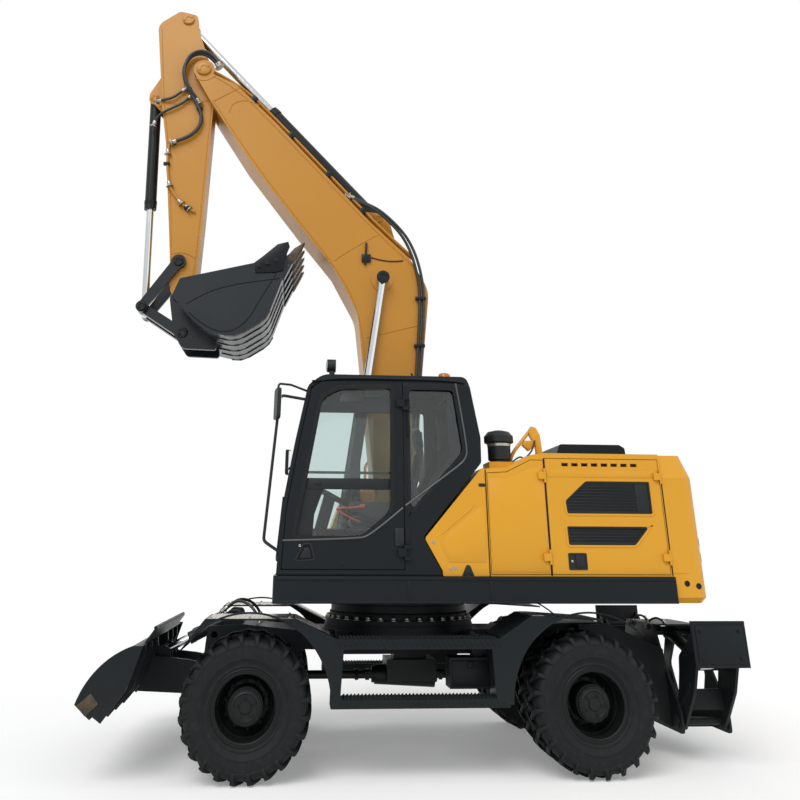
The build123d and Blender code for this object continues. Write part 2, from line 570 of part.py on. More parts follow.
barrel, rod = hydraulic_cylinder(
    (STAB_X, *STAB_CYL_BASE), (STAB_X, *STAB_CYL_EYE), (1, 0, 0), (600, 500, 52, 32, 48, 118, 24), (0,))
for name, part in [("stabiliser_barrel", barrel), ("stabiliser_rod", rod)]:
    save(part, f"{name}_left")
    save(part.mirror(Plane.XZ), f"{name}_right")


# ---------------------------------------------------------------- deck and counterweight
with BuildPart() as deck:
    plan_plate([(DECK_FRONT, SIDE_Y), (DECK_FRONT, CAB_INNER_Y), (700, CAB_INNER_Y), (700, TANK_Y),
                (DECK_FRONT, TANK_Y), (DECK_FRONT, -SIDE_Y), (DECK_REAR, -SIDE_Y), (DECK_REAR, SIDE_Y)],
               DECK_BOTTOM, DECK_TOP, radius=[40, 20, 20, 20, 20, 40, 5, 5])
    with BuildSketch(Plane.XY.offset(RING_TOP)):
        Circle(RING_RADIUS - 20)
    extrude(amount=DECK_BOTTOM - RING_TOP)
    with BuildSketch(Plane.XY.offset(RING_TOP - 130)):
        Circle(RING_BORE)
    extrude(amount=130)
    for y in (-BOOM_WIDTH / 2 - 46, BOOM_WIDTH / 2 + 6):
        side_plate([(-560, DECK_TOP), (-160, 1900), (-50, 1990), (150, 1990), (250, 1880), (330, DECK_TOP)],
                   BOOM_Y + y, BOOM_Y + y + 40, radius=[0, 90, 100, 100, 90, 0])
    block((510, 705), (TANK_Y, CAB_INNER_Y), (DECK_TOP - 25, DECK_TOP + 5), mode=Mode.SUBTRACT)
    for side in (-1, 1):
        for near in (BOOM_CYL_OFFSET - 66, BOOM_CYL_OFFSET + 57.6):
            low, high = sorted((BOOM_Y + side * near, BOOM_Y + side * (near + 8)))
            side_plate([(470, DECK_TOP - 60), (540, 1590), (640, 1590), (700, DECK_TOP - 60)], low, high,
                       radius=[0, 45, 45, 0])
        low, high = sorted((BOOM_Y + side * (BOOM_CYL_OFFSET - 66), BOOM_Y + side * (BOOM_CYL_OFFSET + 65)))
        cross_bar(BOOM_CYL_BASE, 38, low, high)
    cross_bar(BOOM_FOOT, 50, BOOM_Y - BOOM_WIDTH / 2 - 60, BOOM_Y + BOOM_WIDTH / 2 + 60)
save(deck.part, "deck")

TAIL_X = -2750.0
TAIL_CORNER = -2513.0
with BuildPart() as counterweight:
    with BuildSketch(Plane.XY.offset(DECK_BOTTOM)) as plan:
        with BuildLine():
            ThreePointArc((TAIL_CORNER, -CAB_Y), (TAIL_X, 0), (TAIL_CORNER, CAB_Y))
            Polyline((TAIL_CORNER, CAB_Y), (DECK_REAR - RUN, CAB_Y), (DECK_REAR - RUN, -CAB_Y),
                     (TAIL_CORNER, -CAB_Y))
        make_face()
        fillet(plan.vertices().group_by(Axis.X)[0], 110)
    extrude(amount=HOOD_TOP - DECK_BOTTOM)
    chamfer(counterweight.faces().sort_by(Axis.Z)[-1].edges().filter_by(
        lambda edge: edge.center().X < DECK_REAR - 60), 200, 75)
    chamfer(counterweight.faces().sort_by(Axis.Z)[0].edges().filter_by(
        lambda edge: edge.center().X < DECK_REAR - 60), 45)
    for side in (-1, 1):
        with Locations((LIFT_HOLE[0], side * LIFT_HOLE[1], HOOD_TOP - LIFT_DEPTH / 2)):
            Cylinder(LIFT_RADIUS, LIFT_DEPTH, mode=Mode.SUBTRACT)
save(counterweight.part, "counterweight")


# ---------------------------------------------------------------- cab
CAB_SIDE = [(1156, FLOOR_Z), (1130, 1989), (1038, 2541), (937, 3053), (800, CAB_ROOF), (-524, CAB_ROOF),
            (-620, 2608), (-616, 2393), (-86, 1775), (-232, 1509), (-232, FLOOR_Z)]
CAB_CORNERS = [20, 0, 0, 120, 160, 60, 60, 40, 30, 10, 10]
CAB_VOID = [(1096, FLOOR_Z + 60), (1075, 1985), (984, 2530), (885, 3030), (780, CAB_ROOF - 60),
            (-330, CAB_ROOF - 60), (-360, 2440), (-60, 2000), (-60, FLOOR_Z + 60)]
DOOR_SIDE = [(1118, FLOOR_Z + 45), (1094, 1987), (1004, 2536), (907, 3035), (815, CAB_ROOF - 75),
             (DOOR_REAR_X, CAB_ROOF - 75), (DOOR_REAR_X, FLOOR_Z + 45)]
DOOR_WINDOW = [(1023, 1759), (434, 1762), (178, 1977), (169, 3053), (667, 3036), (820, 2940)]
DOOR_WINDOW_CORNERS = [30, 60, 60, 40, 60, 60]
REAR_WINDOW = [(30, 3040), (-395, 3040), (-470, 2480), (30, 1950)]
SIDE_WINDOW = [(1000, 1850), (920, 2500), (840, 2960), (-250, 2960), (-250, 2350), (0, 1980), (0, 1850)]
with BuildPart() as cab_shell:
    side_plate(CAB_SIDE, CAB_INNER_Y, CAB_Y, radius=CAB_CORNERS)
    for edge, inward in [(CAB_Y, -1), (CAB_INNER_Y, 1)]:
        cross_plate([(edge, CAB_ROOF - 110), (edge, CAB_ROOF + 5), (edge + inward * 80, CAB_ROOF + 5)],
                    -800, 1200, mode=Mode.SUBTRACT)
    side_plate(CAB_VOID, CAB_INNER_Y + CAB_WALL, CAB_Y - DOOR_THICK, mode=Mode.SUBTRACT)
    side_plate(DOOR_SIDE, CAB_Y - DOOR_THICK - 1, CAB_Y + 5, mode=Mode.SUBTRACT)
    side_plate(REAR_WINDOW, CAB_Y - 80, CAB_Y + 5, radius=45, mode=Mode.SUBTRACT)
    side_plate(SIDE_WINDOW, CAB_INNER_Y - 5, CAB_INNER_Y + CAB_WALL + 5, radius=40, mode=Mode.SUBTRACT)
    block((800, 1200), (CAB_INNER_Y + 70, CAB_Y - 110), (1640, 3000), mode=Mode.SUBTRACT)
    block((-700, -300), (CAB_INNER_Y + 90, CAB_Y - 120), (2560, 3000), mode=Mode.SUBTRACT)
    plan_plate([(650, CAB_INNER_Y + 130), (650, CAB_Y - 190), (150, CAB_Y - 190), (150, CAB_INNER_Y + 130)],
               CAB_ROOF - 90, CAB_ROOF + 10, radius=40, mode=Mode.SUBTRACT)
    hinge_lugs(CAB_HINGE[0], 1, CAB_HINGE[1], CAB_HINGE_LEVELS, -50)
save(cab_shell.part, "cab_shell")

with BuildPart() as cab_glass:
    side_plate(shrunk(REAR_WINDOW, RUN), CAB_Y - 40, CAB_Y - 40 + GLASS, radius=45 - RUN)
    side_plate(shrunk(SIDE_WINDOW, RUN), CAB_INNER_Y + 15, CAB_INNER_Y + 15 + GLASS, radius=40 - RUN)
    side_plate([(1117, 1642), (1105, 1990), (1013, 2541), (924, 2996), (916, 2996), (1005, 2541),
                (1097, 1990), (1109, 1642)], CAB_INNER_Y + 70 + RUN, CAB_Y - 110 - RUN)
    block((-372, -364), (CAB_INNER_Y + 90 + RUN, CAB_Y - 120 - RUN), (2562, 2998))
    block((140, 660), (CAB_INNER_Y + 120, CAB_Y - 180), (CAB_ROOF - 60 - RUN - GLASS, CAB_ROOF - 60 - RUN))
save(cab_glass.part, "cab_glass")

SEAT_Y = (CAB_INNER_Y + CAB_Y) / 2 - 20
SEAT_X = 270.0
with BuildPart() as cab_seat:
    block((SEAT_X - 180, SEAT_X + 180), (SEAT_Y - 150, SEAT_Y + 150), (FLOOR_Z + 60, 1850))
    side_plate([(SEAT_X - 230, 1850), (SEAT_X + 270, 1850), (SEAT_X + 290, 1960), (SEAT_X - 170, 1970),
                (SEAT_X - 330, 2560), (SEAT_X - 420, 2540), (SEAT_X - 280, 1900)],
               SEAT_Y - 240, SEAT_Y + 240, radius=[30, 40, 50, 60, 40, 40, 60])
    side_plate([(SEAT_X - 330, 2540), (SEAT_X - 365, 2740), (SEAT_X - 440, 2725), (SEAT_X - 415, 2520)],
               SEAT_Y - 130, SEAT_Y + 130, radius=30)
    for side in (-1, 1):
        side_plate([(SEAT_X - 200, 1850), (SEAT_X - 200, 2060), (SEAT_X + 260, 2080), (SEAT_X + 260, 1990),
                    (SEAT_X - 60, 1850)], SEAT_Y + side * 300 - 45, SEAT_Y + side * 300 + 45, radius=25)
        with BuildSketch(Plane(origin=(SEAT_X + 210, SEAT_Y + side * 300, 2070), z_dir=(0.15, 0, 1))):
            Circle(16)
        extrude(amount=170)
        block((SEAT_X - 150, SEAT_X + 100), sorted((SEAT_Y + side * 230, SEAT_Y + side * 260)), (1860, 1940))
save(cab_seat.part, "cab_seat")

with BuildPart() as cab_console:
    with BuildSketch(Plane(origin=(870, SEAT_Y, FLOOR_Z + 60 + RUN), z_dir=(-0.28, 0, 1))):
        RectangleRounded(110, 130, 25)
    extrude(amount=620)
    with BuildSketch(Plane(origin=(700, SEAT_Y, FLOOR_Z + 650), z_dir=(-0.5, 0, 1))) as wheel_rim:
        Circle(190)
        Circle(165, mode=Mode.SUBTRACT)
        Rectangle(345, 26)
        Rectangle(60, 60)
    extrude(amount=24)
    block((600, 1080), (SEAT_Y - 200, SEAT_Y + 200), (FLOOR_Z - 60, FLOOR_Z + 60 + RUN), mode=Mode.SUBTRACT)
save(cab_console.part, "cab_console")

with BuildPart() as cab_door:
    side_plate([(1112, FLOOR_Z + 51), (1088, 1986), (998, 2534), (902, 3029), (812, CAB_ROOF - 81),
                (DOOR_REAR_X + 5, CAB_ROOF - 81), (DOOR_REAR_X + 5, FLOOR_Z + 51)],
               CAB_Y - DOOR_THICK, CAB_Y, radius=[20, 0, 0, 80, 100, 10, 10])
    side_plate(DOOR_WINDOW, CAB_Y - 60, CAB_Y + 5, radius=DOOR_WINDOW_CORNERS, mode=Mode.SUBTRACT)
    side_plate([(990, 1480 + 110), (930, 1730 - 20), (880, 1710), (850, 1600)], CAB_Y - 15, CAB_Y + 5,
               radius=12, mode=Mode.SUBTRACT)
    hinge_eyes(*CAB_HINGE, CAB_HINGE_LEVELS, 60)
save(cab_door.part, "cab_door")

with BuildPart() as door_glass:
    side_plate(shrunk(DOOR_WINDOW, RUN), CAB_Y - 36, CAB_Y - 36 + GLASS,
               radius=[corner - RUN for corner in DOOR_WINDOW_CORNERS])
save(door_glass.part, "door_glass")


# ---------------------------------------------------------------- hood, engine and tanks
HOOD_SIDE = [(HOOD_FRONT, FLOOR_Z), (HOOD_FRONT, 2346), (-830, 2355), (-1060, 2465), (HOOD_SPLIT, HOOD_TOP),
             (HOOD_REAR, HOOD_TOP), (HOOD_REAR, FLOOR_Z)]
HOOD_WEDGE = [(HOOD_FRONT, FLOOR_Z), (HOOD_FRONT, 2346), (-615, 2346), (-97, 1765), (-245, 1507),
              (-245, FLOOR_Z)]
DOOR_LOW = FLOOR_Z + 12
SERVICE_DOOR = [(HOOD_FRONT - 8, DOOR_LOW), (HOOD_FRONT - 8, 2310), (-836, 2320), (-1056, 2425),
                (HOOD_SPLIT + 4, 2425), (HOOD_SPLIT + 4, DOOR_LOW)]
ENGINE_DOOR = [(HOOD_SPLIT - 4, DOOR_LOW), (HOOD_SPLIT - 4, 2440), (HOOD_REAR + 10, 2440),
               (HOOD_REAR + 10, DOOR_LOW)]
UPPER_GRILLE = [(-1360, 1975), (-1350, 2080), (-1545, 2245), (-2125, 2245), (-2125, 1975)]
LOWER_GRILLE = [(-1345, 1868), (-2080, 1868), (-1940, 1718), (-1350, 1718)]
SLOT_REAR = -1400.0  # the foremost of the eight air slots
SLOT_PITCH = 90.0
SLOT_LENGTH = 60.0
LID_HALF = 800.0
LID_FRONT = -1260.0
LID_THICK = 30.0
CLEANER_Z = 2422.0


with BuildPart() as hood_body:
    side_plate(HOOD_SIDE, -CAB_Y, CAB_Y, radius=[5, 20, 0, 0, 0, 10, 5])
    side_plate([(HOOD_FRONT - 60, FLOOR_Z - 5), (HOOD_FRONT - 60, 2280), (-1110, 2380),
                (HOOD_REAR + 60, 2400), (HOOD_REAR + 60, FLOOR_Z - 5)],
               -CAB_Y + 90, CAB_Y - 90, mode=Mode.SUBTRACT)
    for door, side in [(SERVICE_DOOR, 1), (ENGINE_DOOR, 1), (ENGINE_DOOR, -1)]:
        side_plate(door, *span(side, CAB_Y - PANEL - 1, CAB_Y + 5), mode=Mode.SUBTRACT)
        side_plate(shrunk(door, 40), *span(side, CAB_Y - 95, CAB_Y), mode=Mode.SUBTRACT)
    block((HOOD_REAR + 30, LID_FRONT), (-LID_HALF, LID_HALF), (HOOD_TOP - LID_THICK, HOOD_TOP + 5),
          mode=Mode.SUBTRACT)
    block((HOOD_REAR + 80, LID_FRONT - 50), (-LID_HALF + 50, LID_HALF - 50), (2390, HOOD_TOP),
          mode=Mode.SUBTRACT)
    side_plate(HOOD_WEDGE, CAB_INNER_Y + 10, CAB_Y, radius=[0, 0, 10, 30, 20, 10])
    block((HOOD_FRONT - 2, HOOD_FRONT + 10), (CAB_Y - 20, CAB_Y + 5), (FLOOR_Z - 5, 2400),
          mode=Mode.SUBTRACT)
    block((-985, -725), (770, 1030), (2300, CLEANER_Z))
    hinge_lugs(SERVICE_HINGE[0], 1, SERVICE_HINGE[1], HOOD_HINGE_LEVELS, -8)
    for side in (-1, 1):
        hinge_lugs(ENGINE_HINGE[0], side, ENGINE_HINGE[1], HOOD_HINGE_LEVELS, -8)
    for y in LID_HINGE_Y:
        cross_bar((LID_FRONT, LID_HINGE_Z), HINGE_PIN, y - 60, y + 60)
        for low in (y - 60, y + 30 + RUN):
            cross_bar((LID_FRONT, LID_HINGE_Z), HINGE_PIN + 3, low, low + 30 - RUN)
            block((LID_FRONT, LID_FRONT + 40), (low, low + 30 - RUN),
                  (HOOD_TOP - 3, LID_HINGE_Z + HINGE_PIN))
save(hood_body.part, "hood_body")

with BuildPart() as service_door:
    side_plate(shrunk(SERVICE_DOOR, 5), CAB_Y - PANEL, CAB_Y)
    hinge_eyes(*SERVICE_HINGE, HOOD_HINGE_LEVELS, 60)
save(service_door.part, "service_door_left")

with BuildPart() as engine_door:
    side_plate(shrunk(ENGINE_DOOR, 5), CAB_Y - PANEL, CAB_Y)
    for window in (UPPER_GRILLE, LOWER_GRILLE):
        side_plate(window, CAB_Y - PANEL - 5, CAB_Y + 5, radius=15, mode=Mode.SUBTRACT)
        low, high = min(z for x, z in window), max(z for x, z in window)
        left, right = min(x for x, z in window), max(x for x, z in window)
        count = int((high - low) / 45)
        for row in range(count + 1):
            z = low + (high - low) * row / count
            block((left - 25, right + 25), (CAB_Y - PANEL + 2, CAB_Y - 18), (z - 6, z + 6))
    for slot in range(8):
        rear = SLOT_REAR - slot * SLOT_PITCH
        block((rear, rear + SLOT_LENGTH), (CAB_Y - PANEL - 5, CAB_Y + 5), (2372, 2400), mode=Mode.SUBTRACT)
    hinge_eyes(*ENGINE_HINGE, HOOD_HINGE_LEVELS, 60)
save(engine_door.part, "engine_door_left")
save(engine_door.part.mirror(Plane.XZ), "engine_door_right")

with BuildPart() as engine_lid:
    low = HOOD_TOP - LID_THICK
    block((HOOD_REAR + 36, LID_FRONT - 6), (-LID_HALF + 6, LID_HALF - 6), (low + RUN, HOOD_TOP))
    side_plate([(HOOD_REAR + 50, HOOD_TOP - 5), (HOOD_REAR + 60, 2610), (HOOD_REAR + 110, 2640),
                (-1530, 2640), (-1470, HOOD_TOP - 5)], -600, 600, radius=[0, 20, 30, 30, 0])
    side_plate([(HOOD_REAR + 75, low - 5), (HOOD_REAR + 85, 2600), (-1540, 2610), (-1500, low - 5)],
               -575, 575, mode=Mode.SUBTRACT)
    for row in range(9):
        x = -1600 - row * 65
        block((x - 22, x + 22), (-560, 560), (2600, 2650), mode=Mode.SUBTRACT)
    for y in LID_HINGE_Y:
        block((LID_FRONT - 50, LID_FRONT), (y - 30, y + 30), (HOOD_TOP - 3, LID_HINGE_Z + HINGE_PIN))
        cross_bar((LID_FRONT, LID_HINGE_Z), HINGE_PIN + 4, y - 30, y + 30)
        cross_bar((LID_FRONT, LID_HINGE_Z), HINGE_PIN + RUN, y - 30, y + 30, mode=Mode.SUBTRACT)
save(engine_lid.part, "engine_lid")

with BuildPart() as engine:
    block((-2050, -1300), (-420, 480), (FLOOR_Z, 2330))
save(engine.part, "engine")

with BuildPart() as tank:
    side_plate([(HOOD_FRONT + GAP, FLOOR_Z), (HOOD_FRONT + GAP, 2300), (250, 2300), (520, 2200),
                (640, 1880), (1080, 1860), (1140, 1790), (1150, FLOOR_Z)], -CAB_Y, TANK_Y - 20,
               radius=[0, 40, 120, 120, 40, 60, 40, 10])
    for z in (1620, 1760):
        block((760, 1160), (-CAB_Y - 5, -CAB_Y + 160), (z, z + 90), mode=Mode.SUBTRACT)
    with Locations((-200, -820, 2300)):
        Cylinder(70, 120)
    for y in (-CAB_Y + 40, TANK_Y - 70):
        tube_along([(230, y, 2295), (230, y, 2640), (-560, y, 2640), (-560, y, 2295)], 17, 90)
save(tank.part, "tank")

CLEANER = (-855.0, 900.0)
with BuildPart() as precleaner:
    with BuildSketch(Plane.XZ.offset(-CLEANER[1])) as section:
        with BuildLine():
            Polyline((CLEANER[0], CLEANER_Z + RUN), (CLEANER[0] + 90, CLEANER_Z + RUN),
                     (CLEANER[0] + 90, 2440), (CLEANER[0] + 105, 2450), (CLEANER[0] + 105, 2590), (CLEANER[0] + 135, 2605),
                     (CLEANER[0] + 135, 2660), (CLEANER[0] + 100, 2700), (CLEANER[0] + 40, 2715),
                     (CLEANER[0], 2715), close=True)
        make_face()
    revolve(section.sketch, axis=Axis((CLEANER[0], CLEANER[1], 0), (0, 0, 1)))
save(precleaner.part, "precleaner")

with BuildPart() as mirrors:
    y = CAB_Y - 40
    tube_along([(930, y, 2925), (1185, y, 2965), (1272, y, 1738), (1150, y, 1661), (1060, y, 1664)], 13,
               [40, 50, 50])
    tube_along([(930, y, 3000), (1090, y + 40, 3050), (1200, y + 90, 3050), (1200, y + 90, 2970)],
               10, [20, 25])
    side_plate([(x + RUN, z) for x, z in CAB_SIDE], CAB_INNER_Y, CAB_Y + 5, mode=Mode.SUBTRACT)
    with BuildSketch(Plane(origin=(1185, y + 90, 2870), z_dir=(1, 0.2, 0))):
        RectangleRounded(170, 270, 40)
    extrude(amount=35)
    tube_along([(1000, -CAB_Y + 60, 1840), (1000, -CAB_Y + 60, 2500), (1110, -CAB_Y - 20, 2560)], 14, [60])
    with BuildSketch(Plane(origin=(1100, -CAB_Y - 25, 2620), z_dir=(1, -0.2, 0))):
        RectangleRounded(180, 280, 40)
    extrude(amount=35)
    side_plate([(HOOD_FRONT, 1700), (HOOD_FRONT, 1870), (640, 1880 + RUN), (1080, 1860 + RUN),
                (1140, 1790)], -CAB_Y, TANK_Y - 20, mode=Mode.SUBTRACT)
save(mirrors.part, "mirrors")

with BuildPart() as lamps:
    block((690, 740), (CAB_Y - 260, CAB_Y - 200), (CAB_ROOF, CAB_ROOF + 60))
    with BuildSketch(Plane.YZ.offset(680)):
        with Locations((CAB_Y - 230, CAB_ROOF + 110)):
            Circle(60)
    extrude(amount=80)
    with Locations((-410, CAB_Y - 560, CAB_ROOF + 60)):
        Cylinder(55, 120)
save(lamps.part, "roof_lamps")


# ---------------------------------------------------------------- boom
HALF_BOOM = BOOM_WIDTH / 2
BOOM_SIDE = [(-100, 1740), (-260, 3401), (-352, 4300), (-150, 4660), (292, 5084), (1398, 6297),
             (1887, 6789), (2180, 6925), (2330, 7060), (2410, 6960), (2168, 6548), (1695, 5818),
             (1087, 5023), (696, 4542), (425, 4040), (355, 3388), (200, 1740)]
BOOM_CORNERS = [140, 0, 350, 250, 0, 0, 200, 60, 60, 60, 120, 0, 0, 300, 450, 0, 140]
with BuildPart() as boom:
    side_plate(BOOM_SIDE, BOOM_Y - HALF_BOOM, BOOM_Y + HALF_BOOM, radius=BOOM_CORNERS)
    cross_bar(BOOM_TIP, 125, BOOM_Y - HALF_BOOM, BOOM_Y + HALF_BOOM)
    fork = (BOOM_Y - ARM_WIDTH / 2 - GAP, BOOM_Y + ARM_WIDTH / 2 + GAP)
    cross_bar(BOOM_TIP, 480, *fork, mode=Mode.SUBTRACT)
    block((2095, 2420), fork, (6350, 6900), mode=Mode.SUBTRACT)
    cross_bar(BOOM_TIP, 55, BOOM_Y - HALF_BOOM - 12, BOOM_Y + HALF_BOOM + 12)
    cross_bar(BOOM_FOOT, 50 + RUN, BOOM_Y - HALF_BOOM - 5, BOOM_Y + HALF_BOOM + 5, mode=Mode.SUBTRACT)
    for side in (-1, 1):
        low, high = sorted((BOOM_Y + side * (HALF_BOOM - 5), BOOM_Y + side * (HALF_BOOM + 8.5)))
        cross_bar(BOOM_CYL_EYE, 120, low, high)
        low, high = sorted((BOOM_Y + side * 82, BOOM_Y + side * 110))
        side_plate([(-60, 4700), (80, 5240), (280, 5260), (560, 5300)], low, high, radius=[0, 60, 60, 0])
    cross_bar(ARM_CYL_BASE, 40, BOOM_Y - 110, BOOM_Y + 110)
save(boom.part, "boom")

boom_barrels, boom_rods = hydraulic_cylinder(
    (BOOM_CYL_BASE[0], BOOM_Y, BOOM_CYL_BASE[1]), (BOOM_CYL_EYE[0], BOOM_Y, BOOM_CYL_EYE[1]), (0, 1, 0),
    (1640, 350, 57, 42, 64, 114, 38), (-BOOM_CYL_OFFSET, BOOM_CYL_OFFSET))
save(boom_barrels, "boom_barrels")
save(boom_rods, "boom_rods")


# ---------------------------------------------------------------- arm and linkage
HALF_ARM = ARM_WIDTH / 2
ARM_SIDE = [(2395, 7600), (2420, 7800), (2640, 7850), (2890, 7640), (2793, 6937), (2734, 6486),
            (2645, 6019), (2476, 4678), (2430, 4240), (2325, 4065), (2200, 4200), (2169, 4453),
            (2153, 5113), (2141, 6482), (2115, 6880), (2260, 7200)]
ARM_CORNERS = [0, 70, 80, 160, 0, 0, 0, 0, 60, 85, 60, 0, 0, 0, 100, 0]
with BuildPart() as arm:
    side_plate(ARM_SIDE, BOOM_Y - HALF_ARM, BOOM_Y + HALF_ARM, radius=ARM_CORNERS)
    for side in (-1, 1):
        side_plate([(2780, 6960), (2905, 6700), (2905, 6590), (2840, 6560), (2690, 6400)],
                   *sorted((BOOM_Y + side * 68, BOOM_Y + side * 96)), radius=[0, 50, 50, 30, 0])
    cross_bar(ARM_CYL_EYE, 330, BOOM_Y - 82, BOOM_Y + 82, mode=Mode.SUBTRACT)
    cross_bar(ARM_EYE_LOW, 180, BOOM_Y - 82, BOOM_Y + 82, mode=Mode.SUBTRACT)
    side_plate([(ARM_EYE_LOW[0] - 320, ARM_EYE_LOW[1] - 175), (ARM_EYE_LOW[0], ARM_EYE_LOW[1] - 180),
                ARM_EYE_LOW, (ARM_EYE_LOW[0] - 320, ARM_EYE_LOW[1])], BOOM_Y - 82, BOOM_Y + 82, mode=Mode.SUBTRACT)
    cross_bar(ARM_CYL_EYE, 60, BOOM_Y - HALF_ARM - 12, BOOM_Y - 82)
    cross_bar(ARM_CYL_EYE, 60, BOOM_Y + 82, BOOM_Y + HALF_ARM + 12)
    cross_bar(BOOM_TIP, 55 + RUN, BOOM_Y - HALF_ARM - 5, BOOM_Y + HALF_ARM + 5, mode=Mode.SUBTRACT)
    cross_bar(BUCKET_CYL_BASE, 36, BOOM_Y - 96, BOOM_Y + 96)
    cross_bar(ROCKER_PIN, 40, BOOM_Y - HALF_ARM - 46, BOOM_Y + HALF_ARM + 46)
    cross_bar(ARM_TIP, 40 + RUN, BOOM_Y - HALF_ARM - 5, BOOM_Y + HALF_ARM + 5, mode=Mode.SUBTRACT)
save(arm.part, "arm")

arm_barrel, arm_rod = hydraulic_cylinder(
    (ARM_CYL_BASE[0], BOOM_Y, ARM_CYL_BASE[1]), (ARM_CYL_EYE[0], BOOM_Y, ARM_CYL_EYE[1]), (0, 1, 0),
    (1880, 250, 78, 50, 72, 162, 40), (0,))
save(arm_barrel, "arm_barrel")
save(arm_rod, "arm_rod")

bucket_barrel, bucket_rod = hydraulic_cylinder(
    (BUCKET_CYL_BASE[0], BOOM_Y, BUCKET_CYL_BASE[1]), (LINK_PIN[0], BOOM_Y, LINK_PIN[1]), (0, 1, 0),
    (1400, 180, 64, 40, 60, 134, 36), (0,))
save(bucket_barrel, "bucket_barrel")
save(bucket_rod, "bucket_rod")


def strap(start, end, start_radius, end_radius, y_low, y_high):
    """A flat link with rounded ends between two pins."""
    with BuildSketch(Plane.XZ.offset(-y_low)) as face:
        with Locations(start):
            Circle(start_radius)
        with Locations(end):
            Circle(end_radius)
        angle = atan2(end[1] - start[1], end[0] - start[0])
        with BuildLine():
            nx, nz = -sin(angle), cos(angle)
            Polyline((start[0] + nx * start_radius * 0.8, start[1] + nz * start_radius * 0.8),
                     (end[0] + nx * end_radius * 0.8, end[1] + nz * end_radius * 0.8),
                     (end[0] - nx * end_radius * 0.8, end[1] - nz * end_radius * 0.8),
                     (start[0] - nx * start_radius * 0.8, start[1] - nz * start_radius * 0.8), close=True)
        make_face()
    extrude(face.sketch, amount=y_low - y_high)


with BuildPart() as rocker:
    for side in (-1, 1):
        low, high = sorted((BOOM_Y + side * (HALF_ARM + 8), BOOM_Y + side * (HALF_ARM + 44)))
        strap(ROCKER_PIN, LINK_PIN, 78, 62, low, high)
    cross_bar(ROCKER_PIN, 40 + RUN, BOOM_Y - 260, BOOM_Y + 260, mode=Mode.SUBTRACT)
    for side in (-1, 1):
        cross_bar(LINK_PIN, 40, *sorted((BOOM_Y + side * (HALF_ARM + 8), BOOM_Y + side * (HALF_ARM + 52))))
save(rocker.part, "rocker")

with BuildPart() as bucket_link:
    for side in (-1, 1):
        low, high = sorted((BOOM_Y + side * 70, BOOM_Y + side * (HALF_ARM + 1)))
        strap(LINK_PIN, BUCKET_PIN, 60, 68, low, high)
    cross_bar(BUCKET_PIN, 68, BOOM_Y - HALF_ARM - 1, BOOM_Y + HALF_ARM + 1)
    block((2420, 2500), (BOOM_Y - 71, BOOM_Y + 71), (3890, 3945))
    cross_bar(BUCKET_PIN, LINK_PIN_RADIUS + RUN, BOOM_Y - 200, BOOM_Y + 200, mode=Mode.SUBTRACT)
save(bucket_link.part, "bucket_link")


# ---------------------------------------------------------------- bucket
HALF_BUCKET = BUCKET_WIDTH / 2
SHELL_SIDE = [(2176, 4030), (1533, 4453), (1190, 4500), (1222, 4308), (1371, 3852), (1682, 3650),
              (1980, 3715), (2154, 3858)]
SHELL_CORNERS = [0, 0, 0, 0, 260, 260, 120, 60]
SHELL_VOID = [(2151, 4150), (1180, 4620), (1222, 4480), (1247, 4315), (1392, 3868), (1690, 3676),
              (1970, 3741), (2130, 3874)]
with BuildPart() as bucket:
    side_plate(SHELL_SIDE, BOOM_Y - HALF_BUCKET, BOOM_Y + HALF_BUCKET, radius=SHELL_CORNERS)
    side_plate(SHELL_VOID, BOOM_Y - HALF_BUCKET + 25, BOOM_Y + HALF_BUCKET - 25,
               radius=[0, 0, 0, 0, 240, 240, 105, 45], mode=Mode.SUBTRACT)
    for side in (-1, 1):
        low, high = sorted((BOOM_Y + side * (HALF_BUCKET - 25), BOOM_Y + side * HALF_BUCKET))
        side_plate([(2279, 4262), (1533, 4453), (1291, 4661), (1184, 4693), (1195, 4549), (1222, 4308),
                    (1371, 3900), (1682, 3700), (1980, 3760), (2154, 3858), (2340, 4082)], low, high,
                   radius=[20, 0, 10, 15, 0, 0, 260, 260, 100, 0, 40])
        low, high = sorted((BOOM_Y + side * (HALF_ARM + 6), BOOM_Y + side * (HALF_ARM + 46)))
        side_plate([(2190, 4290), (2330, 4270), (2425, 4165), (2345, 3760), (2240, 3610), (1890, 3600),
                    (1900, 3690), (2130, 3860)], low, high, radius=[0, 70, 80, 70, 60, 30, 0, 0])
    cross_bar(ARM_TIP, 40, BOOM_Y - HALF_ARM - 56, BOOM_Y + HALF_ARM + 56)
    cross_bar(BUCKET_PIN, LINK_PIN_RADIUS, BOOM_Y - HALF_ARM - 56, BOOM_Y + HALF_ARM + 56)
    for number in range(5):
        middle = BOOM_Y + (number - 2) * 240
        side_plate([(1250, 4330), (1212, 4300), (1130, 4480), (1010, 4714), (1210, 4540)],
                   middle - 45, middle + 45)
save(bucket.part, "bucket")
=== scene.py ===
"""Wheeled excavator: the looks of every piece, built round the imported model, in metres."""

import json
from math import asin, cos, exp, pi, radians, sin

import bpy
from mathutils import Matrix, Vector


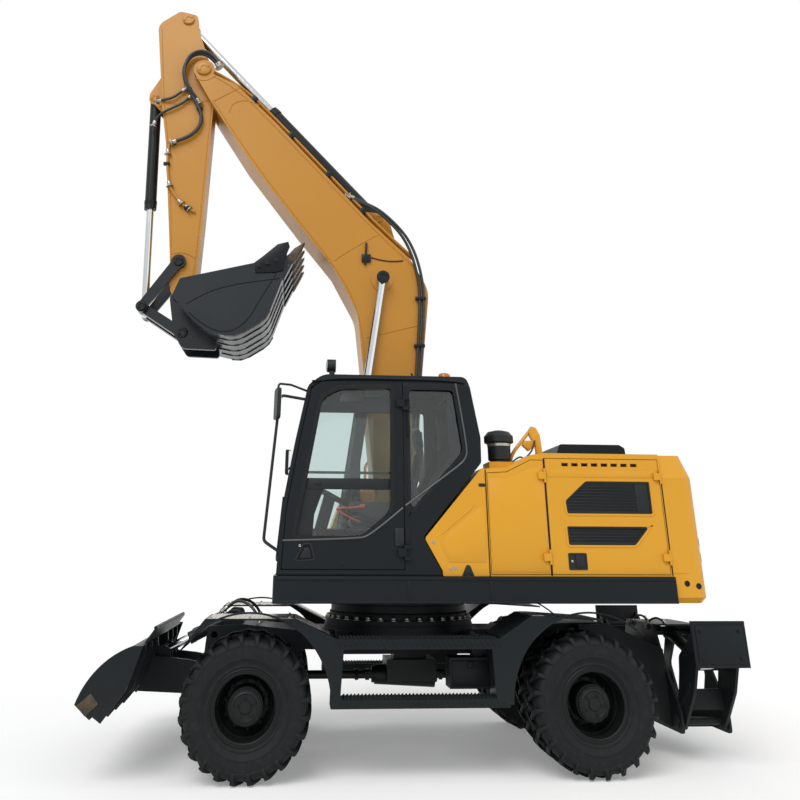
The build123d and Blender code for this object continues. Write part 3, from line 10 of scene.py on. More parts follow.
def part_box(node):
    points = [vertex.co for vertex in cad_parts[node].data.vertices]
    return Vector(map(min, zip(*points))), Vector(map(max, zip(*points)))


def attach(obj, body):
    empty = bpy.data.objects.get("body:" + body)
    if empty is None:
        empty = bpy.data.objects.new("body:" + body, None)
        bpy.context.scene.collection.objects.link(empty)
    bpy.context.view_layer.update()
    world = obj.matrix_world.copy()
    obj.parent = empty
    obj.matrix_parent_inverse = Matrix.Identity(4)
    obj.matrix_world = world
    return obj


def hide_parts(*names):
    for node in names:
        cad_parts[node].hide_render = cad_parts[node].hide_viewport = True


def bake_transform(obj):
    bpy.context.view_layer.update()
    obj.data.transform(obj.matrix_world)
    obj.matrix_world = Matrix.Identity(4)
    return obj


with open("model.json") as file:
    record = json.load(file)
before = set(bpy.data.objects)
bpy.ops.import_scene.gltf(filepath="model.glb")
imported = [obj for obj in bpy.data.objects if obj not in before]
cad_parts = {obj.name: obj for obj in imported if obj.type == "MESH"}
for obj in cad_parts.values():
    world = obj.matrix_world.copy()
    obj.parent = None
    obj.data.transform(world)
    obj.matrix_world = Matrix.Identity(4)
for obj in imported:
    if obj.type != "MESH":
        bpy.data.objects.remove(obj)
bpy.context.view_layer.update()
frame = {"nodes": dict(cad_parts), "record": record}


# ---------------------------------------------------------------- stage and camera
# The machine stands on a plain pale studio floor under two soft lamps and an even white
# surround. The camera stands low on the cab side and looks up, with a long shift down.
FLOOR_SIZE = 160.0
CAMERA_PLACE = (1.0001, 8.5065, 1.6355)
HEADING, TILT, ROLL = 175.517, 112.001, 0.259  # of the camera, in degrees


def linear(colour):
    """The linear values of an sRGB hex colour, with full alpha."""
    parts = [int(colour[start:start + 2], 16) / 255 for start in (1, 3, 5)]
    return [*(((part + 0.055) / 1.055) ** 2.4 if part > 0.04045 else part / 12.92 for part in parts), 1.0]


def set_up(node, settings=None, links=None):
    """Fills a shader node's choices and sockets with settings, and joins outputs to its sockets."""
    for name, value in (settings or {}).items():
        if isinstance(name, str) and hasattr(node, name):
            setattr(node, name, value)
        else:
            node.inputs[name].default_value = value
    for name, output in (links or {}).items():
        node.id_data.links.new(output, node.inputs[name])
    return node


def add_node(tree, kind, settings=None, links=None):
    """Adds one shader node with its settings and links."""
    return set_up(tree.nodes.new(kind), settings, links)


def light_share(tree):
    """One for camera, mirror and glass rays, which see the plain white surround."""
    path = add_node(tree, "ShaderNodeLightPath").outputs
    seen = add_node(tree, "ShaderNodeMath", {"operation": "MAXIMUM"},
                    {0: path["Is Camera Ray"], 1: path["Is Glossy Ray"]})
    return add_node(tree, "ShaderNodeMath", {"operation": "MAXIMUM"},
                    {0: seen.outputs[0], 1: path["Is Transmission Ray"]}).outputs[0]


world = bpy.data.worlds.new("studio")
bpy.context.scene.world = world
world.use_nodes = True
world.node_tree.nodes.clear()
even_light = add_node(world.node_tree, "ShaderNodeBackground", {"Color": linear("#F4F7FA"), "Strength": 0.54})
white_surround = add_node(world.node_tree, "ShaderNodeBackground",
                          {"Color": linear("#FFFFFF"), "Strength": 1.0})
world_mix = add_node(world.node_tree, "ShaderNodeMixShader", {}, {
    0: light_share(world.node_tree), 1: even_light.outputs[0], 2: white_surround.outputs[0]})
add_node(world.node_tree, "ShaderNodeOutputWorld", {}, {"Surface": world_mix.outputs[0]})

bpy.ops.mesh.primitive_plane_add(size=FLOOR_SIZE)
floor = bpy.context.object
floor.name = "studio_floor"
painted_floor = bpy.data.materials.new("matt_white_floor_paint")
painted_floor.use_nodes = True
painted_floor.node_tree.nodes.clear()
floor_diffuse = add_node(painted_floor.node_tree, "ShaderNodeBsdfDiffuse", {"Color": linear("#F2F2F0")})
floor_glow = add_node(painted_floor.node_tree, "ShaderNodeEmission", {"Strength": 0.22})
floor_sum = add_node(painted_floor.node_tree, "ShaderNodeAddShader", {}, {
    0: floor_diffuse.outputs[0], 1: floor_glow.outputs[0]})
floor_mix = add_node(painted_floor.node_tree, "ShaderNodeMixShader", {}, {
    0: light_share(painted_floor.node_tree), 1: floor_diffuse.outputs[0], 2: floor_sum.outputs[0]})
add_node(painted_floor.node_tree, "ShaderNodeOutputMaterial", {}, {"Surface": floor_mix.outputs[0]})
floor.data.materials.append(painted_floor)

for lamp_name, strength, aim, soft in [("key_lamp", 1.6, (-0.35, -0.75, -0.8), 38),
                                       ("fill_lamp", 0.5, (0.8, -0.5, -0.35), 70)]:
    tilt = Vector(aim).to_track_quat("-Z", "Y").to_euler()
    bpy.ops.object.light_add(type="SUN", location=(0, 4, 9), rotation=tilt)
    lamp = bpy.context.object
    lamp.name = lamp_name
    lamp.data.energy = strength
    lamp.data.angle = radians(soft)

view_turn = Matrix.Identity(3)
for degrees, axis in [(HEADING, "Z"), (TILT, "X"), (ROLL, "Z")]:
    view_turn = view_turn @ Matrix.Rotation(radians(degrees), 3, axis)
bpy.ops.object.camera_add(location=CAMERA_PLACE, rotation=view_turn.to_euler())
camera = bpy.context.object
camera.name = "camera"
camera.data.sensor_width = 36.0
camera.data.lens = 36.324
camera.data.shift_x = 0.0437
camera.data.shift_y = -0.2147
camera.data.clip_end = 300.0
bpy.context.scene.camera = camera
bpy.context.scene.view_settings.view_transform = "Standard"


# ---------------------------------------------------------------- chassis frame and axles
# The frame is welded steel plate, grit blasted and sprayed with a charcoal enamel. So are the
# axles, the blade and the steps. The spray leaves fine orange peel and a dull sheen.
CHARCOAL = "#192023"
DEEP_CHARCOAL = "#101416"
ROAD_DUST = "#3A3B38"


def fresh_material(name):
    """A new material with its node tree, its main shader and the place of each point on the piece."""
    material = bpy.data.materials.new(name)
    material.use_nodes = True
    tree = material.node_tree
    place = add_node(tree, "ShaderNodeTexCoord").outputs["Object"]
    return material, tree, tree.nodes["Principled BSDF"], place


def painted_steel(name, colour, patch, roughness, coat=0.0, peel=0.25, dust=None, shine=0.5):
    """Enamel sprayed on steel: slow patches in its tone, orange peel and, near the ground, dust."""
    material, tree, shader, place = fresh_material(name)
    # Patches about 0.8 m across, from uneven light coats and handling.
    patches = add_node(tree, "ShaderNodeTexNoise", {"Scale": 1.3, "Detail": 5.0, "Roughness": 0.6},
                       {"Vector": place})
    paint = add_node(tree, "ShaderNodeMix", {"data_type": "RGBA", 6: linear(colour), 7: linear(patch)},
                     {0: patches.outputs[0]})
    paint_colour = paint.outputs[2]
    if dust:
        height = add_node(tree, "ShaderNodeSeparateXYZ", {}, {0: place}).outputs["Z"]
        low = add_node(tree, "ShaderNodeMapRange", {1: 1.1, 2: 0.1, 3: 0.0, 4: 0.5}, {0: height})
        specks = add_node(tree, "ShaderNodeTexNoise", {"Scale": 9.0, "Detail": 8.0, "Roughness": 0.7},
                          {"Vector": place})
        share = add_node(tree, "ShaderNodeMath", {"operation": "MULTIPLY"},
                         {0: low.outputs[0], 1: specks.outputs[0]})
        dusty = add_node(tree, "ShaderNodeMix", {"data_type": "RGBA", 7: linear(dust)},
                         {0: share.outputs[0], 6: paint_colour})
        paint_colour = dusty.outputs[2]
    sheen = add_node(tree, "ShaderNodeMapRange", {1: 0.3, 2: 0.7, 3: roughness - 0.05, 4: roughness + 0.07},
                     {0: patches.outputs[0]})
    # Real orange peel is 2 mm across, drawn at 12 mm so that it shows.
    peel_noise = add_node(tree, "ShaderNodeTexNoise", {"Scale": 80.0, "Detail": 2.0}, {"Vector": place})
    rounded = add_node(tree, "ShaderNodeBevel", {"samples": 4, "Radius": 0.005})
    bump = add_node(tree, "ShaderNodeBump", {"Strength": peel, "Distance": 0.001},
                    {"Height": peel_noise.outputs[0], "Normal": rounded.outputs[0]})
    set_up(shader, {"Specular IOR Level": shine, "Coat Weight": coat, "Coat Roughness": 0.12},
           {"Base Color": paint_colour, "Roughness": sheen.outputs[0], "Normal": bump.outputs[0]})
    return material


charcoal_enamel = painted_steel("charcoal_enamel_on_steel", CHARCOAL, DEEP_CHARCOAL, 0.42, dust=ROAD_DUST,
                                shine=0.16)
black_enamel = painted_steel("black_enamel_on_steel", "#0E1112", "#15191A", 0.36, shine=0.25)


def dress(material, *names):
    """Gives CAD nodes their finish."""
    for name in names:
        piece = frame["nodes"][name]
        piece.data.materials.clear()
        piece.data.materials.append(material)


slot_of = {row["node"]: row["material_slot"] for row in frame["record"]["subparts"]}
dress(charcoal_enamel, *frame["nodes"])


def only(piece):
    """Selects one piece alone and makes it active."""
    bpy.ops.object.select_all(action="DESELECT")
    piece.select_set(True)
    bpy.context.view_layer.objects.active = piece


def soften(piece, width, segments=2, angle=40):
    """Breaks the sharp edges of a piece, as a grinder or a mould does."""
    only(piece)
    edge = piece.modifiers.new("broken_edges", "BEVEL")
    edge.width = width
    edge.segments = segments
    edge.limit_method = "ANGLE"
    edge.angle_limit = radians(angle)
    bpy.ops.object.modifier_apply(modifier=edge.name)
    return piece


def plate(name, outline, low, high, across="Y", edge=0.003, corner=0.0, rim=0.0):
    """A plate cut to an outline: (x, z) points across Y, (y, z) points across X, (x, y) across Z.

    Its corners may be rounded, and with a rim only a frame of that width is left of it.
    """
    bpy.ops.mesh.primitive_circle_add(vertices=len(outline), fill_type="NGON")
    piece = bpy.context.object
    piece.name = name
    spread = {"X": lambda a, b: (low, a, b), "Y": lambda a, b: (a, low, b), "Z": lambda a,
              b: (a, b, low)}[across]
    for vertex, point in zip(piece.data.vertices, outline):
        vertex.co = spread(*point)
    depth = Vector([(high - low) * (axis == across) for axis in "XYZ"])
    bpy.ops.object.mode_set(mode="EDIT")
    bpy.ops.mesh.select_all(action="SELECT")
    if corner:
        bpy.ops.mesh.bevel(offset=corner, segments=5, affect="VERTICES")
        bpy.ops.mesh.select_all(action="SELECT")
    if rim:
        bpy.ops.mesh.inset(thickness=rim)
        bpy.ops.mesh.delete(type="FACE")
        bpy.ops.mesh.select_all(action="SELECT")
    bpy.ops.mesh.extrude_region_move(TRANSFORM_OT_translate={"value": depth})
    bpy.ops.mesh.select_all(action="SELECT")
    bpy.ops.mesh.normals_make_consistent(inside=False)
    bpy.ops.object.mode_set(mode="OBJECT")
    return soften(piece, edge) if edge else piece


def bar(name, x, y, z, edge=0.003):
    """A squared bar or block between the (low, high) pairs of each axis."""
    return plate(name, [(x[0], z[0]), (x[1], z[0]), (x[1], z[1]), (x[0], z[1])], y[0], y[1], edge=edge)


def turned(name, profile, centre=(0, 0, 0), axis="Y", steps=40):
    """A ring or disc spun from a closed profile of (radius, along) round an axis through centre."""
    bpy.ops.mesh.primitive_circle_add(vertices=len(profile), fill_type="NOTHING")
    piece = bpy.context.object
    piece.name = name
    along = Vector([float(letter == axis) for letter in "XYZ"])
    out = Vector((0, 0, 1)) if axis != "Z" else Vector((1, 0, 0))
    for vertex, (radius, height) in zip(piece.data.vertices, profile):
        vertex.co = out * radius + along * height
    bpy.ops.object.mode_set(mode="EDIT")
    bpy.ops.mesh.select_all(action="SELECT")
    bpy.ops.mesh.spin(steps=steps, angle=2 * pi, center=(0, 0, 0), axis=along, use_auto_merge=True)
    bpy.ops.mesh.select_all(action="SELECT")
    bpy.ops.mesh.remove_doubles(threshold=0.00002)
    bpy.ops.mesh.normals_make_consistent(inside=False)
    bpy.ops.object.mode_set(mode="OBJECT")
    piece.data.transform(Matrix.Translation(centre))
    return piece


def joined(name, pieces):
    """Joins pieces into one and names it."""
    bpy.ops.object.select_all(action="DESELECT")
    for piece in pieces:
        piece.select_set(True)
    bpy.context.view_layer.objects.active = pieces[0]
    if len(pieces) > 1:
        bpy.ops.object.join()
    pieces[0].name = name
    return pieces[0]


def repeated(piece, moves, name=None, keep=False):
    """Copies a piece to every move and joins the copies, in its place unless it is kept."""
    copies = []
    for move in moves:
        copy = piece.copy()
        copy.data = piece.data.copy()
        copy.data.transform(move)
        if move.determinant() < 0:
            copy.data.flip_normals()
        bpy.context.scene.collection.objects.link(copy)
        copies.append(copy)
    name = name or piece.name
    if not keep:
        bpy.data.objects.remove(piece)
    return joined(name, copies)


def stand(place, direction):
    """The move that puts a piece's own Z along a direction at a place."""
    turn = Vector(direction).to_track_quat("Z", "Y").to_matrix().to_4x4()
    return Matrix.Translation(place) @ turn


def shift(x=0.0, y=0.0, z=0.0):
    """A move without a turn."""
    return Matrix.Translation((x, y, z))


def round_head(name, profile, steps=24, move=Matrix.Identity(4)):
    """A round piece spun from (radius, height) on its own Z, then moved to its place."""
    piece = turned(name, profile, axis="Z", steps=steps)
    piece.data.transform(move)
    return piece


def circle(count, radius, centre, facing, start=0.0):
    """The moves that stand pieces evenly on a circle round a centre, all facing along one axis."""
    moves = []
    for number in range(count):
        turn = 2 * pi * (number + start) / count
        across, up = radius * sin(turn), radius * cos(turn)
        offset = (0, across, up) if facing[0] else (across, 0, up) if facing[1] else (up, across, 0)
        moves.append(stand(Vector(centre) + Vector(offset), facing))
    return moves


MIRROR_Y = Matrix.Diagonal((1, -1, 1, 1))
FLIP = {1: Matrix.Identity(4), -1: MIRROR_Y}  # by the side of the machine, left or right
BOTH_SIDES = list(FLIP.values())


def fit(piece, material, body, angle=35):
    """Finishes a piece: smooth round faces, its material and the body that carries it."""
    only(piece)
    bpy.ops.object.transform_apply(location=True, rotation=True, scale=True)
    bpy.ops.object.shade_smooth_by_angle(angle=radians(angle))
    piece.data.materials.clear()
    piece.data.materials.append(material)
    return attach(piece, body)


def hex_bolt(name, flats, height):
    """A hexagon head on its washer, standing on z = 0."""
    pieces = []
    for corners, radius, depth, middle, edge in [
            (6, flats / 3 ** 0.5, height, height / 2 + flats * 0.08, 0.05),
            (16, flats * 0.85, flats * 0.16, flats * 0.06, 0.03)]:
        bpy.ops.mesh.primitive_cylinder_add(vertices=corners, radius=radius, depth=depth,
                                            location=(0, 0, middle))
        pieces.append(soften(bpy.context.object, flats * edge, 1))
        bpy.ops.object.transform_apply(location=True)
    return joined(name, pieces)


def pipe(name, points, radius, order=3, sides=3):
    """A bent pipe or fitted hose whose line runs smoothly past its points."""
    line = bpy.data.curves.new(name, "CURVE")
    line.dimensions = "3D"
    line.bevel_depth = radius
    line.bevel_resolution = sides
    line.resolution_u = 6
    line.use_fill_caps = True
    route = line.splines.new("NURBS")
    route.points.add(len(points) - 1)
    for point, place in zip(route.points, points):
        point.co = (*place, 1.0)
    route.order_u = order
    route.use_endpoint_u = True
    piece = bpy.data.objects.new(name, line)
    bpy.context.scene.collection.objects.link(piece)
    only(piece)
    bpy.ops.object.convert(target="MESH")
    return bpy.context.object


# ---------------------------------------------------------------- wheels
# Each wheel is a pair of cross-ply tyres on one steel rim, bolted to the hub with ten nuts. The
# carcass is moulded black rubber with bar lugs that alternate left and right of the middle.
TYRE_RADIUS = 0.52
TWIN_PITCH = 0.32
WHEELS = ("front_left", "front_right", "rear_left", "rear_right")
front_hub, rear_hub = (sum(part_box(f"tyre_{end}_left"), Vector()) / 2 for end in ("front", "rear"))
FRONT_AXLE_X, TWIN_Y, AXLE_Z = front_hub
REAR_AXLE_X = rear_hub.x
LUG_COUNT = 24
LUG_FOOT = 0.478  # radius down to which the lugs are sunk in the carcass

tyre_rubber, tree, rubber, place = fresh_material("moulded_tyre_rubber")
# Rubber scuffs grey where it has rolled and keeps pale dust in patches about 60 mm across.
scuffs = add_node(tree, "ShaderNodeTexNoise", {"Scale": 16.0, "Detail": 7.0, "Roughness": 0.7},
                  {"Vector": place})
scuff_share = add_node(tree, "ShaderNodeMapRange", {1: 0.5, 2: 0.75, 3: 0.0, 4: 0.55}, {0: scuffs.outputs[0]})
rubber_tone = add_node(tree, "ShaderNodeMix", {"data_type": "RGBA", 6: linear("#0F1213"),
                                               7: linear("#26292B")}, {0: scuff_share.outputs[0]})
grain = add_node(tree, "ShaderNodeTexNoise", {"Scale": 240.0, "Detail": 3.0}, {"Vector": place})
rubber_bump = add_node(tree, "ShaderNodeBump", {"Strength": 0.35, "Distance": 0.002},
                       {"Height": grain.outputs[0]})
set_up(rubber, {"Roughness": 0.66, "Specular IOR Level": 0.25},
       {"Base Color": rubber_tone.outputs[2], "Normal": rubber_bump.outputs[0]})

# Half of the tyre's section, as (radius, out from its middle), with the rings moulded on the wall.
outer_half = [(0.256, 0.088), (0.258, 0.112), (0.284, 0.122), (0.290, 0.128), (0.297, 0.128), (0.302, 0.126),
              (0.340, 0.137), (0.344, 0.141), (0.352, 0.142), (0.356, 0.139), (0.395, 0.143), (0.430, 0.141),
              (0.434, 0.144), (0.446, 0.143), (0.466, 0.132), (0.482, 0.113), (0.489, 0.070), (0.490, 0.0)]
section = outer_half + [(radius, -out) for radius, out in reversed(outer_half[:-1])]
carcass = turned("carcass", section, steps=72)

bpy.ops.mesh.primitive_grid_add(x_subdivisions=6, y_subdivisions=1)
lug = bpy.context.object
# A lug's rows, from the shoulder to past the middle: out, radius, lean round the tyre, half width.
lug_rows = [(0.150, 0.452, 0.000, 0.030), (0.146, 0.486, 0.004, 0.030), (0.128, 0.511, 0.014, 0.034),
            (0.100, 0.5185, 0.032, 0.038), (0.062, TYRE_RADIUS, 0.066, 0.036),
            (0.020, TYRE_RADIUS, 0.112, 0.034), (-0.018, 0.5195, 0.150, 0.030)]
for vertex in lug.data.vertices:
    row = round((vertex.co.x + 1) * 3)
    out, radius, lean, half = lug_rows[row]
    turn = lean + half * vertex.co.y
    vertex.co = (radius * sin(turn), out, radius * cos(turn))
bpy.ops.object.mode_set(mode="EDIT")
bpy.ops.mesh.select_all(action="SELECT")
bpy.ops.mesh.extrude_region_move()
bpy.ops.object.mode_set(mode="OBJECT")
for vertex in lug.data.vertices:
    if vertex.select:
        out, up = vertex.co.y, Vector((vertex.co.x, vertex.co.z))
        foot = up.normalized() * min(LUG_FOOT, up.length - 0.03)
        vertex.co = (foot.x, out * 0.93, foot.y)
bpy.ops.object.mode_set(mode="EDIT")
bpy.ops.mesh.select_all(action="SELECT")
bpy.ops.mesh.normals_make_consistent(inside=False)
bpy.ops.object.mode_set(mode="OBJECT")
soften(lug, 0.004, 2, 50)
lug_moves = [Matrix.Rotation(pi * number / LUG_COUNT, 4, "Y") @ BOTH_SIDES[number % 2]
             for number in range(2 * LUG_COUNT)]
tyre = joined("tyre", [carcass, repeated(lug, lug_moves)])

# The wheel's own parts beside the rim: nuts on their studs, the hub's cover, bolts and a valve.
charcoal_rim = painted_steel("charcoal_wheel_enamel", "#14181A", "#0E1112", 0.45, dust="#2C2C29", shine=0.2)
nut = hex_bolt("nut", 0.034, 0.030)
stud = round_head("stud", [(0, 0.02), (0.0105, 0.02), (0.0105, 0.048), (0.008, 0.052), (0, 0.052)], 12)
HUB_FACE = TWIN_Y + 0.230
OUTWARDS = (0, 1, 0)
nuts = repeated(joined("nut", [nut, stud]), circle(10, 0.170, (0, TWIN_Y + 0.030, 0), OUTWARDS))
nut_plate = turned("nut_plate", [(0.137, 0.012), (0.200, 0.012), (0.206, 0.030), (0.200, 0.034),
                                 (0.137, 0.034)], (0, TWIN_Y, 0))
hub_cover = turned("hub_cover", [(0.0, -0.004), (0.112, -0.004), (0.112, 0.006), (0.096, 0.012),
                                 (0.090, 0.006), (0.050, 0.006), (0.044, 0.016), (0.0, 0.016)],
                   (0, HUB_FACE, 0))
cover_bolts = repeated(hex_bolt("cover_bolts", 0.019, 0.010),
                       circle(5, 0.071, (0, HUB_FACE + 0.006, 0), OUTWARDS))
ring_bolts = repeated(hex_bolt("ring_bolts", 0.014, 0.008),
                      circle(12, 0.119, (0, HUB_FACE - 0.001, 0), OUTWARDS))
lock_ring = turned("lock_ring", [(0.236, 0.243), (0.262, 0.243), (0.283, 0.262), (0.283, 0.274),
                                 (0.268, 0.282), (0.262, 0.272), (0.250, 0.272), (0.244, 0.280),
                                 (0.236, 0.276)], (0, TWIN_Y, 0), steps=64)
disc_ring = turned("disc_ring", [(0.205, 0.045), (0.236, 0.082), (0.236, 0.110), (0.222, 0.112),
                                 (0.205, 0.080)], (0, TWIN_Y, 0), steps=64)
valve = pipe("valve", [(0.215, TWIN_Y + 0.09, 0), (0.222, TWIN_Y + 0.13, 0), (0.228, TWIN_Y + 0.19, 0)],
             0.005)
trim = joined("wheel_trim", [nuts, nut_plate, hub_cover, cover_bolts, ring_bolts, lock_ring, disc_ring,
                             valve])

for number, wheel in enumerate(WHEELS):
    side = 1 if wheel.endswith("left") else -1
    hub = (FRONT_AXLE_X if wheel.startswith("front") else REAR_AXLE_X, 0, AXLE_Z)
    # Like most machines that have been driven to where they stand, no two wheels stop at one angle.
    roll = Matrix.Rotation(0.37 * number + 0.11, 4, "Y")
    pair = [shift(*hub) @ roll @ shift(y=side * (TWIN_Y + step * TWIN_PITCH / 2)) for step in (-1, 1)]
    tyres = repeated(tyre, pair, f"tyre_pair_{wheel}", keep=True)
    fit(tyres, tyre_rubber, f"wheel_{wheel}")
    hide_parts(f"tyre_{wheel}")
    own_trim = repeated(trim, [shift(*hub) @ roll @ FLIP[side]], f"wheel_trim_{wheel}", keep=True)
    fit(own_trim, charcoal_rim, f"wheel_{wheel}")
    dress(charcoal_rim, f"rim_{wheel}")
for pattern in (tyre, trim):
    bpy.data.objects.remove(pattern)


# ---------------------------------------------------------------- step boxes and fenders
# Folded steel boxes between the wheels carry serrated treads. The front fenders are walked on, so
# chequered aluminium covers their tops, bright where boots have polished the raised bars.
SIDE_Y = 1.25
STEP_RAILS = [(0.572, -0.640, 0.608), (1.000, -0.660, 0.640)]  # z of a tread, and its ends in x
RAIL_FACES = [(0.541, -0.725, 0.665), (0.968, -0.700, 0.650)]  # middle of a rail's outer face, and its ends
TOOTH_PITCH = 0.030
RIB_PITCH = 0.045

tooth = plate("tooth", [(-0.014, 0.0), (-0.010, 0.014), (-0.004, 0.016), (0.006, 0.006), (0.012, 0.004),
                        (0.014, 0.0)], -0.003, 0.003, edge=0.0008)
tooth_moves = []
for z, low, high in STEP_RAILS:
    for row in (1.03, 1.10, 1.17, 1.235):
        count = int((high - low) / TOOTH_PITCH)
        tooth_moves += [shift(low + TOOTH_PITCH * (n + 0.5), side * row, z) for n in range(count)
                        for side in (-1, 1)]
fit(repeated(tooth, tooth_moves, "serrated_treads"), charcoal_enamel, "chassis")

# The rails' outer faces are pressed with slanting ribs, so that a boot's toe finds a hold.
rib = plate("rib", [(-0.020, -0.021), (-0.008, -0.021), (0.020, 0.021), (0.008, 0.021)], -0.001, 0.005,
            edge=0.0015)
rib_moves = []
for middle, low, high in RAIL_FACES:
    for side in (-1, 1):
        rib_moves += [shift(low + RIB_PITCH * (n + 0.5), side * SIDE_Y, middle) @ FLIP[side]
                      for n in range(int((high - low) / RIB_PITCH))]
fit(repeated(rib, rib_moves, "step_ribs"), charcoal_enamel, "chassis")

chequer, tree, metal, place = fresh_material("rolled_chequer_aluminium")
# Raised bars 28 mm long lie in a herringbone, one way and then the other, 40 mm apart.
bars = []
for turn in (radians(45), radians(-45)):
    turned_place = add_node(tree, "ShaderNodeMapping", {"Rotation": (0, 0, turn), "Scale": (18.0, 46.0, 1.0)},
                            {"Vector": place})
    waves = add_node(tree, "ShaderNodeTexVoronoi", {"Scale": 1.0, "Randomness": 0.0,
                                                    "voronoi_dimensions": "2D"},
                     {"Vector": turned_place.outputs[0]})
    bars.append(add_node(tree, "ShaderNodeMapRange", {1: 0.34, 2: 0.22, 3: 0.0, 4: 1.0},
                         {0: waves.outputs["Distance"]}))
raised = add_node(tree, "ShaderNodeMath", {"operation": "MAXIMUM"},
                  {0: bars[0].outputs[0], 1: bars[1].outputs[0]})
metal_tone = add_node(tree, "ShaderNodeMix", {"data_type": "RGBA", 6: linear("#A9A49A"),
                                              7: linear("#E4E2DC")}, {0: raised.outputs[0]})
chequer_bump = add_node(tree, "ShaderNodeBump", {"Strength": 0.9, "Distance": 0.002},
                        {"Height": raised.outputs[0]})
set_up(metal, {"Metallic": 0.85, "Roughness": 0.34},
       {"Base Color": metal_tone.outputs[2], "Normal": chequer_bump.outputs[0]})

tops = [bar("top", (low, high), (0.690, 1.238), (z, z + 0.004), edge=0.0015)
        for low, high, z in [(1.0, 1.685, 1.150), (-1.075, -0.975, 1.168)]]
tops.append(plate("slope", [(0.975, 1.152), (0.985, 1.154), (0.700, 1.032), (0.692, 1.028)], 0.75, 1.20,
                  edge=0))
fit(repeated(joined("covers", tops), BOTH_SIDES, "fender_tread_plates"), chequer, "chassis")

zinc, tree, zinc_metal, place = fresh_material("zinc_plated_steel")
# Yellowish zinc dulls unevenly, in spots a few millimetres across.
spots = add_node(tree, "ShaderNodeTexNoise", {"Scale": 120.0, "Detail": 4.0}, {"Vector": place})
zinc_tone = add_node(tree, "ShaderNodeMix", {"data_type": "RGBA", 6: linear("#B9B6AC"), 7: linear("#8C8A82")},
                     {0: spots.outputs[0]})
set_up(zinc_metal, {"Metallic": 1.0, "Roughness": 0.38}, {"Base Color": zinc_tone.outputs[2]})
cover_bolt_moves = [stand((x, side * y, 1.153), (0, 0, 1)) for x in (1.03, 1.35, 1.66) for y in (0.715, 1.21)
                    for side in (-1, 1)]
fit(repeated(hex_bolt("cover_bolt", 0.019, 0.009), cover_bolt_moves, "fender_bolts"), zinc, "chassis")

# Each fender's outer edge is rolled over a bead, which stiffens the arch above the tyre.
ARCH_RADIUS = 0.676
beads = []
for x, low, high in [(FRONT_AXLE_X, 128, 48), (REAR_AXLE_X, 132, 44)]:  # the ends in degrees
    turns = [radians(low + (high - low) * step / 8) for step in range(9)]
    beads.append(pipe("bead", [(x + ARCH_RADIUS * cos(turn), SIDE_Y - 0.004, AXLE_Z + ARCH_RADIUS * sin(turn))
                               for turn in turns], 0.008))
fit(repeated(joined("bead", beads), BOTH_SIDES, "fender_beads"), charcoal_enamel, "chassis")


# ---------------------------------------------------------------- slewing ring and driveline
# A forged ring bearing between chassis and deck, held by a circle of high-tensile bolts. Below it
# the gearbox drives both axles through shafts with forged universal joints.
RING_BOLTS = 36
SHAFT_Z = 0.600

ring_moves = circle(RING_BOLTS, 0.668, (0, 0, 1.090), (0, 0, 1))
fit(repeated(hex_bolt("ring_bolt", 0.036, 0.024), ring_moves, "slewing_ring_bolts"), zinc, "chassis")
deck_moves = circle(RING_BOLTS, 0.600, (0, 0, 1.262), (0, 0, -1), start=0.5)
fit(repeated(hex_bolt("deck_bolt", 0.034, 0.020), deck_moves, "deck_ring_bolts"), zinc, "upper")
lip = round_head("ring_lip", [(0.630, 1.128), (0.652, 1.130), (0.655, 1.142), (0.640, 1.150), (0.630, 1.150)],
                 72)
fit(lip, tyre_rubber, "chassis")

joints = []
for x, facing in [(REAR_AXLE_X + 0.235, 1), (-0.395, -1), (0.295, 1), (FRONT_AXLE_X - 0.255, -1)]:
    for side in (-1, 1):
        joints.append(plate("yoke", [(x - facing * 0.045, SHAFT_Z - 0.030),
                                     (x + facing * 0.030, SHAFT_Z - 0.026), (x + facing * 0.045, SHAFT_Z),
                                     (x + facing * 0.030, SHAFT_Z + 0.026),
                                     (x - facing * 0.045, SHAFT_Z + 0.030)], side * 0.046 - 0.009,
                            side * 0.046 + 0.009))
    joints.append(turned("cross", [(0, -0.062), (0.015, -0.062), (0.019, -0.050), (0.019, 0.050),
                                   (0.015, 0.062), (0, 0.062)], (x, 0, SHAFT_Z), "Y", 16))
    joints.append(turned("cap", [(0, -0.046), (0.019, -0.046), (0.019, 0.046), (0, 0.046)], (x, 0, SHAFT_Z),
                         "Z", 16))
    joints.append(turned("boot", [(0.037, -0.02), (0.050, -0.016), (0.044, -0.006), (0.052, 0.004),
                                  (0.044, 0.014), (0.037, 0.02)], (x + facing * 0.10, 0, SHAFT_Z), "X", 24))
fit(joined("universal_joints", joints), black_enamel, "chassis")


# ---------------------------------------------------------------- dozer blade
# Rolled steel mouldboard with a bolted cutting edge of hardened steel. Soil has scoured the edge
# and the lower face down to brown and bright metal.
BLADE_EDGE = (2.653, 0.555)
BLADE_HALF = 1.24

scoured, tree, worn, place = fresh_material("soil_scoured_steel")
